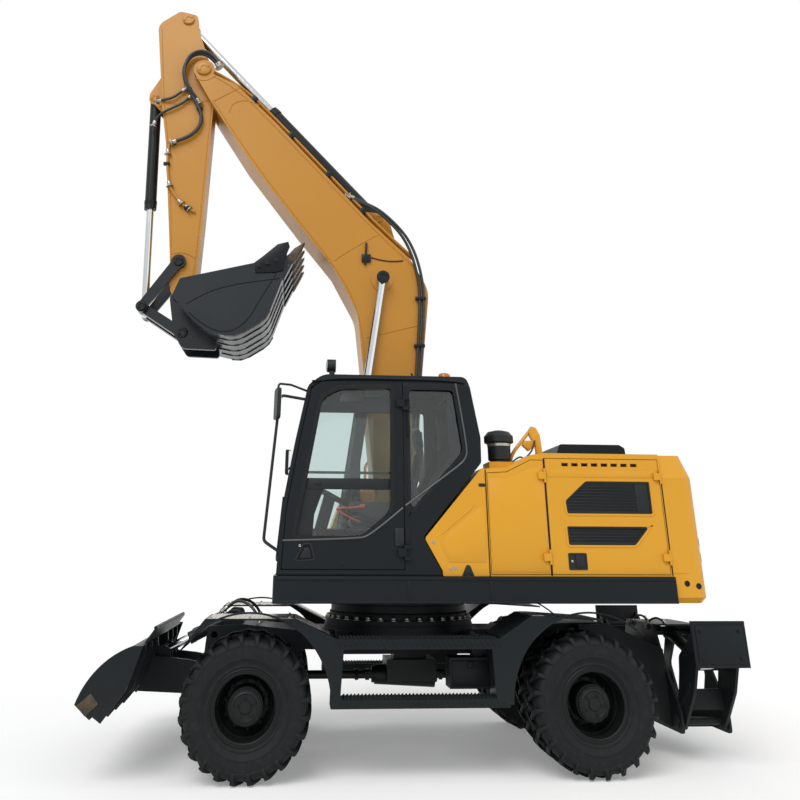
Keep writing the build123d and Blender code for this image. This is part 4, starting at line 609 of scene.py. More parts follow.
# Rust-brown patches about 50 mm across, crossed by scratches 3 mm apart along the digging way.
rust = add_node(tree, "ShaderNodeTexNoise", {"Scale": 14.0, "Detail": 9.0, "Roughness": 0.75},
                {"Vector": place})
rust_share = add_node(tree, "ShaderNodeMapRange", {1: 0.42, 2: 0.6, 3: 0.0, 4: 1.0}, {0: rust.outputs[0]})
steel_tone = add_node(tree, "ShaderNodeMix", {"data_type": "RGBA", 6: linear("#3F3D3A"),
                                              7: linear("#5A4A38")}, {0: rust_share.outputs[0]})
stretched = add_node(tree, "ShaderNodeMapping", {"Scale": (330.0, 6.0, 12.0)}, {"Vector": place})
scratches = add_node(tree, "ShaderNodeTexNoise", {"Scale": 1.0, "Detail": 4.0},
                     {"Vector": stretched.outputs[0]})
worn_tone = add_node(tree, "ShaderNodeMix", {"data_type": "RGBA", "blend_type": "OVERLAY", 0: 0.5},
                     {6: steel_tone.outputs[2], 7: scratches.outputs[0]})
worn_bump = add_node(tree, "ShaderNodeBump", {"Strength": 0.4, "Distance": 0.001},
                     {"Height": scratches.outputs[0]})
worn_gloss = add_node(tree, "ShaderNodeMapRange", {1: 0.3, 2: 0.7, 3: 0.3, 4: 0.6}, {0: rust.outputs[0]})
set_up(worn, {"Metallic": 0.75}, {
    "Base Color": worn_tone.outputs[2], "Roughness": worn_gloss.outputs[0], "Normal": worn_bump.outputs[0]})

edge_x, edge_z = BLADE_EDGE
cutting_edge = plate("cutting_edge", [(edge_x - 0.002, edge_z), (edge_x - 0.026, edge_z - 0.022),
                                      (edge_x - 0.170, edge_z + 0.078), (edge_x - 0.168, edge_z + 0.102)],
                     -BLADE_HALF + 0.004, BLADE_HALF - 0.004)
fit(cutting_edge, scoured, "blade")
EDGE_BOLT_PITCH = 0.145
edge_bolt = round_head("edge_bolts", [(0, 0), (0.019, 0), (0.015, 0.006), (0, 0.008)], 16)
edge_bolts = repeated(edge_bolt, [stand((edge_x - 0.092, n * EDGE_BOLT_PITCH, edge_z + 0.056),
                                        (0.55, 0, 0.83)) for n in range(-8, 9)])
fit(edge_bolts, zinc, "blade")
# Reinforcing bead along the mouldboard's top, and the corners' wear plates.
top_bead = pipe("mouldboard_bead", [(2.140, -0.902, 1.060), (2.140, 0, 1.061), (2.140, 0.902, 1.060)], 0.014)
corner_plate = plate("corner_plate", [(2.560, 0.475), (2.640, 0.548), (2.535, 0.632), (2.470, 0.560)],
                     BLADE_HALF - 0.001, BLADE_HALF + 0.007)
fit(repeated(corner_plate, BOTH_SIDES, "blade_corner_plates"), scoured, "blade")
fit(top_bead, charcoal_enamel, "blade")


# ---------------------------------------------------------------- chassis hoses and fittings
# Rubber hoses with steel end fittings run from the rotary union to the blade, the stabilisers and
# the steering. Short ones arch freely between two fittings that hold both ends.
hose_rubber, tree, hose, place = fresh_material("braided_hose_rubber")
# Wrapped rubber keeps the print of its cloth wrap, about 3 mm a turn, drawn at 8 mm.
wrap = add_node(tree, "ShaderNodeTexWave", {"Scale": 40.0, "Distortion": 2.0}, {"Vector": place})
hose_bump = add_node(tree, "ShaderNodeBump", {"Strength": 0.2, "Distance": 0.001},
                     {"Height": wrap.outputs["Fac"]})
hose_haze = add_node(tree, "ShaderNodeTexNoise", {"Scale": 20.0, "Detail": 3.0}, {"Vector": place})
hose_tone = add_node(tree, "ShaderNodeMix", {"data_type": "RGBA", 6: linear("#111314"), 7: linear("#25282A")},
                     {0: hose_haze.outputs[0]})
set_up(hose, {"Roughness": 0.4}, {"Base Color": hose_tone.outputs[2], "Normal": hose_bump.outputs[0]})

ferrules = {"chassis": [], "upper": [], "boom": [], "arm": []}  # finished together, body by body, at the end


def ferrule(body, end, before, radius):
    """A crimped steel socket and its hexagon nut at a hose's end, pointing back along the hose."""
    socket = round_head("socket", [(0, 0), (radius * 1.25, 0), (radius * 1.25, 0.016), (radius * 1.05, 0.020),
                                   (radius * 1.35, 0.026), (radius * 1.35, 0.062), (radius * 1.1, 0.068),
                                   (0, 0.068)], 16)
    nut = hex_bolt("union", radius * 2.9, 0.014)
    piece = joined("ferrule", [socket, nut])
    piece.data.transform(stand(end, Vector(before) - Vector(end)))
    ferrules[body].append(piece)


def hose_run(name, body, points, radius=0.013):
    """A fitted hose along points, with a ferrule at each end."""
    ferrule(body, points[0], points[1], radius)
    ferrule(body, points[-1], points[-2], radius)
    fit(pipe(name, points, radius), hose_rubber, body)


for side, word in [(1, "left"), (-1, "right")]:
    hose_run(f"blade_hose_{word}", "chassis", [(1.30, side * 0.28, 1.047), (1.33, side * 0.27, 1.13),
                                               (1.42, side * 0.23, 1.215), (1.52, side * 0.16, 1.235),
                                               (1.60, side * 0.13, 1.19), (1.66, side * 0.13, 1.135)])
    hose_run(f"steering_hose_{word}", "chassis", [(1.12, side * 0.20, 0.795), (1.14, side * 0.21, 0.73),
                                                  (1.20, side * 0.23, 0.66), (1.30, side * 0.235, 0.62)],
             0.010)
    hose_run(f"stabiliser_hose_{word}", "chassis", [(-2.34, side * 0.18, 1.0), (-2.40, side * 0.19, 1.075),
                                                    (-2.50, side * 0.20, 1.09), (-2.55, side * 0.215, 1.02)],
             0.010)
brake_pot = [(0, 0), (0.055, 0), (0.078, 0.012), (0.080, 0.05), (0.086, 0.052), (0.086, 0.062),
             (0.080, 0.064), (0.076, 0.11), (0.05, 0.13), (0, 0.13)]
pots, axle_bolts = [], []
for x in (FRONT_AXLE_X, REAR_AXLE_X):
    for side in (-1, 1):
        pots.append(round_head("brake_pot", brake_pot, 24,
                               stand((x - 0.19, side * 0.36, 0.545), (-1, 0, 0.2))))
        axle_bolts += circle(10, 0.150, (x + side * 0.169, 0, AXLE_Z), (side, 0, 0))
fit(joined("brake_cylinders", pots), black_enamel, "chassis")
fit(repeated(hex_bolt("axle_bolt", 0.022, 0.012), axle_bolts, "axle_case_bolts"), black_enamel, "chassis")
box_low, box_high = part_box("tool_boxes")
box_lids = []
for side in (-1, 1):
    lid_faces = sorted((side * (box_high.y - 0.004), side * (box_high.y + 0.008)))
    latch_faces = sorted((side * box_high.y, side * (box_high.y + 0.022)))
    box_lids += [bar("lid", (box_low.x + 0.02, box_high.x - 0.02), lid_faces,
                     (box_low.z + 0.02, box_high.z - 0.02), 0.006),
                 bar("latch", (box_low.x + 0.15, box_low.x + 0.20), latch_faces,
                     (box_high.z - 0.075, box_high.z - 0.03), 0.004)]
fit(joined("tool_box_lids", box_lids), charcoal_enamel, "chassis")


# ---------------------------------------------------------------- stabilisers
# Welded legs hinge on the rear frame and carry flat pads. Bolts hold the rubber face of each pad,
# and a keeper plate with two screws locks every pin.
pad_low, pad_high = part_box("stabiliser_pad_left")
STAB_X = (pad_low.x + pad_high.x) / 2
PAD_PIN_Z = 0.945
LEG_PIN_Z = 0.300


def pin_head(radius, place, facing):
    """The flanged head of a hinge pin."""
    profile = [(0, 0), (radius, 0), (radius, 0.010), (radius - 0.006, 0.016), (0, 0.016)]
    return round_head("pin_head", profile, 24, stand(place, facing))


for side, word in [(1, "left"), (-1, "right")]:
    frame_plate = plate("pad_rim", [(STAB_X - 0.205, 0.800), (STAB_X + 0.205, 0.800), (STAB_X + 0.205, 1.090),
                                    (STAB_X - 0.205, 1.090)], pad_high.y - 0.001, pad_high.y + 0.008,
                        edge=0.006)
    bolts = repeated(hex_bolt("pad_bolt", 0.024, 0.012), [
        stand((STAB_X + x, pad_high.y + 0.007, z), OUTWARDS) for x in (-0.17, 0.17) for z in (0.84, 1.05)])
    pad_trim = repeated(joined("pad_trim", [frame_plate, bolts]), [FLIP[side]], f"stabiliser_pad_trim_{word}")
    fit(pad_trim, charcoal_enamel, f"stabiliser_pad_{word}")
    heads = []
    for face in (-1, 1):
        x = STAB_X + face * 0.190
        heads.append(pin_head(0.046, (x, 1.075, PAD_PIN_Z), (face, 0, 0)))
        heads.append(plate("leg_rib", [(0.640, 0.360), (0.930, 0.600), (0.905, 0.640), (0.620, 0.410)],
                           *sorted((x - face * 0.001, x + face * 0.008)), across="X"))
    leg_trim = repeated(joined("leg_trim", heads), [FLIP[side]], f"stabiliser_leg_trim_{word}")
    fit(leg_trim, charcoal_enamel, f"stabiliser_leg_{word}")
pins = [pin_head(0.050, (STAB_X + face * 0.220, side * 0.620, LEG_PIN_Z), (face, 0, 0))
        for face in (-1, 1) for side in (-1, 1)]
fit(joined("stabiliser_pivots", pins), charcoal_enamel, "chassis")


# ---------------------------------------------------------------- deck and counterweight
# The revolving deck is a welded frame in charcoal enamel. The counterweight behind it is a steel
# shell filled with scrap and concrete, faired smooth and sprayed with the hood's yellow.
TAIL_X = -2.750
TAIL_RADIUS = 3.1565

yellow_enamel = painted_steel("yellow_enamel_on_steel", "#DFA022", "#D4951C", 0.34, coat=0.12, peel=0.2,
                              shine=0.35)
dress(yellow_enamel, *[node for node, slot in slot_of.items() if slot == "yellow_panels"])

rails = [bar("rail", (-2.225, 1.150), (1.249, 1.257), (1.436, 1.464), 0.004),
         bar("rail", (-2.225, 1.150), (1.249, 1.255), (1.262, 1.284), 0.003)]
rails += [bar("joint_cover", (x, x + 0.03), (1.249, 1.254), (1.284, 1.436)) for x in (-0.655, 0.035)]
fit(repeated(joined("rails", rails), BOTH_SIDES, "deck_side_rails"), charcoal_enamel, "upper")

seam = bar("seam", (-2.2445, -2.2325), (1.197, 1.2012), (1.475, 2.30), 0.0015)
fit(repeated(seam, BOTH_SIDES, "counterweight_seals"), tyre_rubber, "upper")

collar = round_head("collar", [(0.0185, 0), (0.036, 0), (0.036, 0.003), (0.030, 0.006), (0.0185, 0.006)], 24)
fit(repeated(collar, [shift(-2.34, side * 0.60, 2.4835) for side in (-1, 1)], "lifting_eye_collars"), zinc,
    "upper")
plug = round_head("plug", [(0, 0), (0.024, 0), (0.024, 0.003), (0.018, 0.005), (0.014, 0.001), (0, 0.001)],
                  20)
plug_moves = [stand((x, side * 1.1995, z), (0, side, 0)) for x, z in ((-2.355, 1.415), (-2.455, 1.395))
              for side in (-1, 1)]
fit(repeated(plug, plug_moves, "counterweight_plugs"), black_enamel, "upper")
# A pressed line runs round the foot of the counterweight, where its casting box was parted.
PARTING_Z = 1.497
turns = [asin(y / TAIL_RADIUS) for y in (-1.14, -0.9, -0.6, -0.3, 0.0, 0.3, 0.6, 0.9, 1.14)]
parting = [(x, -1.2005, PARTING_Z) for x in (-2.26, -2.50)]
parting += [(TAIL_X + TAIL_RADIUS * (1 - cos(turn)), TAIL_RADIUS * sin(turn), PARTING_Z) for turn in turns]
parting += [(x, 1.2005, PARTING_Z) for x in (-2.50, -2.26)]
fit(pipe("counterweight_parting_line", parting, 0.004), yellow_enamel, "upper")


def tail(y, z):
    """The move to a place on the counterweight's curved back, facing outwards."""
    turn = asin(y / TAIL_RADIUS)
    return stand((TAIL_X + TAIL_RADIUS * (1 - cos(turn)), y, z), (-cos(turn), sin(turn), 0))


def glassy(name, colour, through, roughness=0.05):
    """Clear or coloured plastic or glass that lets light through to what lies behind it."""
    material, tree, shader, place = fresh_material(name)
    film = add_node(tree, "ShaderNodeTexNoise", {"Scale": 3.0, "Detail": 4.0}, {"Vector": place})
    haze = add_node(tree, "ShaderNodeMapRange", {1: 0.3, 2: 0.8, 3: roughness, 4: roughness + 0.05},
                    {0: film.outputs[0]})
    set_up(shader, {"Base Color": linear(colour), "Transmission Weight": through, "IOR": 1.49},
           {"Roughness": haze.outputs[0]})
    return material


red_acrylic = glassy("red_acrylic_lens", "#A3120E", 0.35)
lamp_rims, lenses = [], []
for side in (-1, 1):
    for z in (1.62, 1.75):
        lamp_rims.append(round_head("lamp_rim", [(0.0, -0.01), (0.060, -0.01), (0.060, 0.010), (0.054, 0.014),
                                                 (0.048, 0.006), (0.0, 0.004)], 32, tail(side * 0.98, z)))
        lenses.append(round_head("lens", [(0.0, 0.003), (0.047, 0.003), (0.046, 0.010), (0.030, 0.017),
                                          (0.0, 0.020)], 32, tail(side * 0.98, z)))
fit(joined("tail_lamp_rims", lamp_rims), black_enamel, "upper")
fit(joined("tail_lamp_lenses", lenses), red_acrylic, "upper")


# ---------------------------------------------------------------- hood and its doors
# Pressed steel sheets over a welded frame, in yellow enamel. The side doors breathe through black
# moulded louvres, and rubber seals fill the gaps round each panel.
HOOD_Y = 1.200
UPPER_WINDOW = [(-1.360, 1.975), (-1.350, 2.080), (-1.545, 2.245), (-2.125, 2.245), (-2.125, 1.975)]
LOWER_WINDOW = [(-1.345, 1.868), (-2.080, 1.868), (-1.940, 1.718), (-1.350, 1.718)]
SLAT_PITCH = 0.026
SLAT_MARGIN = 0.012  # kept clear between a slat and its window's frame
PLAIN_END = 0.130  # part of the upper window that has no slats
SKIN = HOOD_Y - 0.0015  # what is pressed out of a sheet starts this far in


def four(x, z, other_x, other_z):
    """The corners of a rectangle in the plane of a side panel."""
    return [(x, z), (x, other_z), (other_x, other_z), (other_x, z)]


moulded_black, tree, plastic, place = fresh_material("moulded_black_polypropylene")
# Moulded plastic with a spark-eroded grain, 1 mm on the mould and drawn at 6 mm.
mould_grain = add_node(tree, "ShaderNodeTexVoronoi", {"Scale": 160.0}, {"Vector": place})
mould_bump = add_node(tree, "ShaderNodeBump", {"Strength": 0.25, "Distance": 0.001},
                      {"Height": mould_grain.outputs[0]})
fade = add_node(tree, "ShaderNodeTexNoise", {"Scale": 4.0, "Detail": 4.0}, {"Vector": place})
plastic_tone = add_node(tree, "ShaderNodeMix", {"data_type": "RGBA", 6: linear("#121618"),
                                                7: linear("#1B2022")}, {0: fade.outputs[0]})
set_up(plastic, {"Roughness": 0.5, "Specular IOR Level": 0.3},
       {"Base Color": plastic_tone.outputs[2], "Normal": mould_bump.outputs[0]})
dress(moulded_black, *[node for node, slot in slot_of.items() if slot == "black_plastic"])


def grown(outline, by):
    """An outline moved outwards by a distance, or inwards where it is negative."""
    points = [Vector(point) for point in outline]
    pairs = list(zip(points, points[1:] + points[:1]))
    way = 1 if sum(a.x * b.y - b.x * a.y for a, b in pairs) > 0 else -1
    outs = [way * Vector(((b - a).y, -(b - a).x)).normalized() for a, b in pairs]
    return [tuple(point + by * (before + after) / (1 + before.dot(after)))
            for point, before, after in zip(points, outs[-1:] + outs[:-1], outs)]


def reach(outline, z):
    """The least and greatest x of an outline at a height."""
    found = []
    for (ax, az), (bx, bz) in zip(outline, outline[1:] + outline[:1]):
        if min(az, bz) <= z <= max(az, bz) and az != bz:
            found.append(ax + (bx - ax) * (z - az) / (bz - az))
    return min(found), max(found)


for side, word in [(1, "left"), (-1, "right")]:
    door = f"engine_door_{word}"
    louvres = []
    for window, plain in [(UPPER_WINDOW, PLAIN_END), (LOWER_WINDOW, 0.0)]:
        heights = [z for _, z in window]
        louvres.append(plate("backing", grown(window, -0.002), 1.1825, 1.1850, edge=0, corner=0.012))
        louvres.append(plate("frame", grown(window, -0.001), 1.1850, 1.1960, edge=0.002, corner=0.013,
                             rim=0.014))
        z = min(heights) + SLAT_PITCH
        while z < max(heights) - SLAT_MARGIN:
            left, right = reach(window, z)
            louvres.append(plate("slat", [(1.1845, z - 0.004), (1.1945, z - 0.012), (1.1960, z - 0.008),
                                          (1.1860, z + 0.004)], left + SLAT_MARGIN + plain,
                                 right - SLAT_MARGIN, across="X", edge=0.001))
            z += SLAT_PITCH
    louvres.append(plate("plain_panel", four(-2.115, 1.985, -1.990, 2.235), 1.1845, 1.1915, edge=0.002,
                         corner=0.01))
    lips = [plate("lip", grown(window, 0.020), SKIN, HOOD_Y + 0.0045, edge=0.0025, corner=0.030, rim=0.019)
            for window in (UPPER_WINDOW, LOWER_WINDOW)]
    lips.append(plate("belt", four(-2.215, 2.278, -1.195, 2.340), SKIN, HOOD_Y + 0.003, edge=0.004))
    latch = [plate("latch_cup", four(-1.495, 1.520, -1.333, 1.654), SKIN + 0.0005, HOOD_Y + 0.006,
                   edge=0.002, corner=0.012, rim=0.012),
             plate("cup_floor", four(-1.490, 1.525, -1.338, 1.650), SKIN, HOOD_Y + 0.0015, edge=0),
             plate("paddle", [(-1.475, 1.540), (-1.475, 1.636), (-1.395, 1.640), (-1.395, 1.536)],
                   HOOD_Y + 0.0005, HOOD_Y + 0.009, edge=0.003, corner=0.008)]
    lock = round_head("lock", [(0, 0), (0.010, 0), (0.010, 0.004), (0.007, 0.006), (0.003, 0.006),
                               (0.003, 0.003), (0, 0.003)], 20,
                      stand((-1.365, HOOD_Y + 0.001, 1.588), OUTWARDS))
    shields = [bar("shield", (-1.402 - 0.09 * n, -1.338 - 0.09 * n), (1.1640, 1.1700), (2.368, 2.404), 0)
               for n in range(8)]
    for ending, pieces, material, slot in [("louvres", louvres, moulded_black, "black_plastic"),
                                           ("pressed_lips", lips, yellow_enamel, "yellow_panels"),
                                           ("latch", latch, moulded_black, "black_plastic"),
                                           ("lock", [lock], zinc, "bare_steel"),
                                           ("slot_shields", shields, moulded_black, "black_plastic")]:
        fit(repeated(joined(ending, pieces), [FLIP[side]], f"{door}_{ending}"), material, door)

# The service door is pressed with a raised field below a slanting shoulder.
field = plate("field", [(-0.672, 1.500), (-0.672, 2.262), (-0.850, 2.268), (-1.062, 2.362), (-1.162, 2.366),
                        (-1.162, 1.500)], SKIN, HOOD_Y + 0.0025, edge=0.004)
fit(field, yellow_enamel, "service_door_left")
seals = [bar("seal", (-1.1875, -1.1725), (1.190, 1.2008), (1.472, 2.44), 0.001),
         bar("seal", (-0.661, -0.6485), (1.182, 1.1996), (1.472, 2.335), 0.001)]
fit(joined("hood_door_seals", seals), tyre_rubber, "upper")

# The wedge under the cab's rear corner has one pressed crease, a key lock and a cable notch.
crease = plate("wedge_crease", [(-0.236, 1.790), (-0.246, 1.812), (-0.500, 2.022), (-0.545, 2.040),
                                (-0.505, 1.999)], SKIN, HOOD_Y + 0.005, edge=0.003)
lower_field = plate("wedge_field", [(-0.300, 1.575), (-0.230, 1.725), (-0.300, 1.800), (-0.600, 2.035),
                                    (-0.625, 1.990), (-0.625, 1.575)], SKIN, HOOD_Y + 0.0015, edge=0.0025)
fit(joined("wedge_pressings", [crease, lower_field]), yellow_enamel, "upper")
notch = [plate("notch", [(-0.405, 1.470), (-0.440, 1.545), (-0.450, 1.556), (-0.470, 1.556), (-0.482, 1.545),
                         (-0.512, 1.470)], SKIN, HOOD_Y + 0.0018, edge=0.001),
         plate("key_cover", four(-0.582, 2.190, -0.640, 2.218), SKIN, HOOD_Y + 0.004, edge=0.002,
               corner=0.008)]
fit(joined("wedge_notch_and_lock", notch), moulded_black, "upper")
wedge_bolts = [stand((x, HOOD_Y, z), OUTWARDS)
               for x, z in [(-0.172, 1.735), (-0.348, 1.532), (-0.313, 1.526)]]
fit(repeated(hex_bolt("wedge_bolt", 0.017, 0.007), wedge_bolts, "wedge_bolts"), zinc, "upper")

# A folded service rail and the silencer's tail pipe stand on the hood beside the air precleaner.
rail_y = 0.800
exhaust_foot = (-1.215, -0.35, 2.475)
strut = pipe("strut", [(-0.965, rail_y, 2.405), (-0.985, rail_y, 2.50), (-1.10, rail_y, 2.635),
                       (-1.215, rail_y, 2.765)], 0.017)
plates = [plate("rail_plate", [(-1.195, 2.772), (-1.240, 2.760), (-1.275, 2.690), (-1.290, 2.480),
                               (-1.235, 2.480), (-1.225, 2.600), (-1.160, 2.545), (-1.100, 2.600),
                               (-1.130, 2.640), (-1.200, 2.640), (-1.165, 2.715)], rail_y - 0.030,
                rail_y + 0.030, edge=0.004)]
fit(joined("service_rail", [strut] + plates), yellow_enamel, "upper")
rail_cable = pipe("rail_cable", [(-0.99, rail_y + 0.04, 2.44), (-1.06, rail_y + 0.05, 2.50),
                                 (-1.10, rail_y + 0.05, 2.46), (-1.20, rail_y + 0.045, 2.56),
                                 (-1.215, rail_y + 0.045, 2.64)], 0.008)
fit(rail_cable, hose_rubber, "upper")
tail_pipe = round_head("tail_pipe", [(0.036, 0), (0.044, 0), (0.044, 0.15), (0.040, 0.155), (0.036, 0.15)],
                       32, stand(exhaust_foot, (-0.35, 0, 1)))
pipe_flange = round_head("pipe_flange", [(0.036, 0), (0.070, 0), (0.070, 0.010), (0.050, 0.014),
                                         (0.036, 0.014)], 32, shift(z=0.009) @ shift(*exhaust_foot))
fit(joined("silencer_tail_pipe", [tail_pipe, pipe_flange]), zinc, "upper")
clean_x, clean_y = (sum(corner[axis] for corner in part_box("precleaner")) / 2 for axis in (0, 1))
band = round_head("precleaner_band", [(0.1045, 2.566), (0.1085, 2.568), (0.1085, 2.596), (0.1045, 2.598)], 48,
                  shift(clean_x, clean_y))
fit(band, zinc, "upper")
hood_bolts = [shift(x, y, 2.4838) for x in (-2.215, -1.225) for y in (-1.1, -0.9, 0.9, 1.1)]
fit(repeated(hex_bolt("hood_bolt", 0.019, 0.008), hood_bolts, "hood_bolts"), zinc, "upper")

# The engine lid carries nine cowled slots in a raised box.
cowl = plate("cowl", [(0.022, 2.600), (0.024, 2.628), (-0.006, 2.634), (-0.008, 2.630), (0.018, 2.622),
                      (0.018, 2.600)], -0.555, 0.555, edge=0)
fit(repeated(cowl, [shift(-1.600 - 0.065 * n) for n in range(9)], "lid_cowls"), charcoal_enamel, "engine_lid")
dress(black_enamel, "engine", "driveline", "bucket_barrel", "boom_barrels", "arm_barrel", "blade_barrels")


# ---------------------------------------------------------------- fuel tank and steps
# The tank on the far side doubles as the way up: its front is stepped, with punched treads bolted
# on, and grab rails stand at both sides of its top.
button = round_head("button", [(0.006, 0), (0.013, 0), (0.010, 0.004), (0.006, 0.004)], 10)
buttons = repeated(button, [shift(0.785 + 0.036 * n, y, z) for z in (1.620, 1.760) for n in range(10)
                            for y in (-1.15, -1.09)])
top_treads = [bar("top_tread", (0.68, 1.04), (-1.16, -0.55), (1.8775, 1.8815), 0.0015),
              bar("top_tread", (-0.60, 0.20), (-1.16, -0.92), (2.3000, 2.3040), 0.0015)]
fit(joined("tank_treads", [buttons, *top_treads]), chequer, "upper")
cap = round_head("fuel_cap", [(0.0, 2.358), (0.060, 2.358), (0.078, 2.362), (0.078, 2.395), (0.070, 2.402),
                              (0.024, 2.402), (0.020, 2.412), (0.0, 2.412)], 32, shift(-0.200, -0.820))
fit(cap, moulded_black, "upper")
tank_rib = plate("tank_rib", four(0, 1.480, 0.03, 2.20), -1.2060, -1.1990, edge=0.003)
fit(repeated(tank_rib, [shift(x) for x in (-0.62, -0.20, 0.22)], "tank_ribs"), yellow_enamel, "upper")


# ---------------------------------------------------------------- cab
# A pressed and welded steel cab in charcoal enamel, glazed with green-tinted toughened glass in
# rubber seals. The door slides shut on a striker and hangs on two pins behind a hinge cover.
CAB_SIDE_Y = 1.200
DOOR_OPENING = [(1.023, 1.759), (0.434, 1.762), (0.178, 1.977), (0.169, 3.053), (0.667, 3.036),
                (0.820, 2.940)]
REAR_OPENING = [(0.030, 3.040), (-0.395, 3.040), (-0.470, 2.480), (0.030, 1.950)]
FAR_OPENING = [(1.000, 1.850), (0.920, 2.500), (0.840, 2.960), (-0.250, 2.960), (-0.250, 2.350), (0.0, 1.980),
               (0.0, 1.850)]

tinted_glass, tree, glass, place = fresh_material("green_tinted_toughened_glass")
# Wiped glass keeps a faint film in broad swipes, which only blurs what it mirrors.
swipes = add_node(tree, "ShaderNodeTexNoise", {"Scale": 2.5, "Detail": 3.0}, {"Vector": place})
film = add_node(tree, "ShaderNodeMapRange", {1: 0.4, 2: 0.8, 3: 0.0, 4: 0.04}, {0: swipes.outputs[0]})
set_up(glass, {"Base Color": linear("#DDE8E6"), "Transmission Weight": 1.0, "IOR": 1.5},
       {"Roughness": film.outputs[0]})
# Light shines through to the seat without the dark shadow that solid glass would cast.
shadow_ray = add_node(tree, "ShaderNodeLightPath").outputs["Is Shadow Ray"]
clear = add_node(tree, "ShaderNodeBsdfTransparent", {"Color": linear("#E4ECEA")})
through = add_node(tree, "ShaderNodeMixShader", {}, {0: shadow_ray, 1: glass.outputs[0], 2: clear.outputs[0]})
set_up(tree.nodes["Material Output"], {}, {"Surface": through.outputs[0]})
dress(tinted_glass, "cab_glass", "door_glass")

# The belt lines are the cab's charcoal enamel painted a lighter grey: a painted highlight where their rounded
# folds catch the light.
highlit_edge_enamel = painted_steel("charcoal_enamel_lightened_as_painted_highlight", "#4A5251", "#3C4443", 0.4, coat=0.2)
for name, body, line in [("door_belt_line", "cab_door",
                          [(1.110, 1.742), (0.479, 1.758), (0.368, 1.785), (0.088, 2.010)]),
                         ("cab_belt_line", "upper", [(0.066, 2.028), (-0.394, 2.352), (-0.475, 2.420),
                                                     (-0.500, 2.52), (-0.410, 3.090)])]:
    fit(pipe(name, [(x, CAB_SIDE_Y + 0.001, z) for x, z in line], 0.0085), highlit_edge_enamel, body)

SEAL_FACES = (CAB_SIDE_Y - 0.001, CAB_SIDE_Y + 0.003)
seal = plate("door_window_seal", grown(DOOR_OPENING, 0.020), *SEAL_FACES, edge=0.0015, corner=0.065,
             rim=0.040)
fit(seal, tyre_rubber, "cab_door")
seals = [plate("seal", grown(REAR_OPENING, 0.014), *SEAL_FACES, edge=0.0015, corner=0.055, rim=0.028),
         plate("seal", grown(FAR_OPENING, 0.014), 0.3220, 0.3260, edge=0.0015, corner=0.05, rim=0.026)]
fit(joined("cab_window_seals", seals), tyre_rubber, "upper")

# The door's pane is split by the sliding window's rail, with a black border ahead of the lower pane.
panes = [bar("slide_rail", (0.172, 0.978), (1.1725, 1.1800), (2.157, 2.250), 0.002),
         bar("slide_grip", (0.800, 0.850), (1.1795, 1.1900), (2.195, 2.225), 0.003),
         bar("pane_edge", (0.172, 0.192), (1.1725, 1.1780), (2.02, 3.045), 0.001),
         plate("pane_border", [(1.010, 1.770), (0.862, 1.770), (0.850, 1.950), (0.775, 2.160),
                               (0.980, 2.160)], 1.1725, 1.1745, edge=0, corner=0.01)]
fit(joined("door_sliding_window", panes), moulded_black, "cab_door")

handle = [plate("recess_rim", grown([(0.990, 1.590), (0.930, 1.710), (0.880, 1.710), (0.850, 1.600)], 0.014),
                1.1990, 1.2035, edge=0.002, corner=0.02, rim=0.013),
          plate("pull", [(0.966, 1.600), (0.928, 1.684), (0.884, 1.688), (0.866, 1.606)], 1.1850, 1.1960,
                edge=0.003, corner=0.01),
          bar("hinge_cover", (0.082, 0.161), (1.199, 1.210), (1.700, 1.846), 0.006)]
fit(joined("door_handle", handle), moulded_black, "cab_door")
key = round_head("door_key_lock", [(0, 0), (0.011, 0), (0.011, 0.004), (0.008, 0.006), (0.003, 0.003),
                                   (0, 0.003)], 20, stand((0.965, 1.196, 1.702), OUTWARDS))
fit(key, zinc, "cab_door")
door_bolts = [stand((x, CAB_SIDE_Y, z), OUTWARDS) for x, z in [(0.600, 1.560), (0.610, 3.075)]]
fit(repeated(hex_bolt("cab_bolt", 0.017, 0.007), door_bolts, "door_bolts"), black_enamel, "cab_door")
grab = pipe("grab_rail", [(0.034, 1.195, 2.60), (0.034, 1.228, 2.61), (0.034, 1.228, 2.81),
                          (0.034, 1.195, 2.82)], 0.009)
hinge_side = bar("hinge_side", (0.030, 0.068), (1.199, 1.209), (1.700, 1.846), 0.005)
gutter = pipe("gutter", [(0.90, 1.196, 3.088), (0.70, 1.170, 3.126), (0.30, 1.166, 3.128),
                         (-0.40, 1.166, 3.128), (-0.50, 1.180, 3.10)], 0.010)
skirt = bar("skirt", (-0.225, 1.150), (1.196, 1.204), (1.470, 1.500), 0.003)
fit(joined("cab_side_fittings", [grab, hinge_side, gutter, skirt]), charcoal_enamel, "upper")
far_rail = [bar("far_pillar", (0.395, 0.445), (0.3355, 0.3390), (1.860, 2.955), 0.001),
            bar("far_rail", (0.005, 0.990), (0.3285, 0.3335), (2.360, 2.385), 0.001)]
fit(joined("far_sliding_window", far_rail), moulded_black, "upper")

wiper = [pipe("arm", [(1.170, 0.560, 1.600), (1.160, 0.580, 1.72), (1.125, 0.700, 2.12)], 0.009),
         pipe("blade", [(1.128, 0.715, 1.86), (1.118, 0.715, 2.02), (1.082, 0.715, 2.28),
                        (1.048, 0.715, 2.48)], 0.007),
         round_head("pivot", [(0, 0), (0.028, 0), (0.026, 0.020), (0.014, 0.026), (0, 0.026)], 20,
                    stand((1.150, 0.560, 1.600), (1, 0, 0)))]
fit(joined("front_wiper", wiper), moulded_black, "upper")

silvered, tree, mirror_shader, place = fresh_material("silvered_mirror_glass")
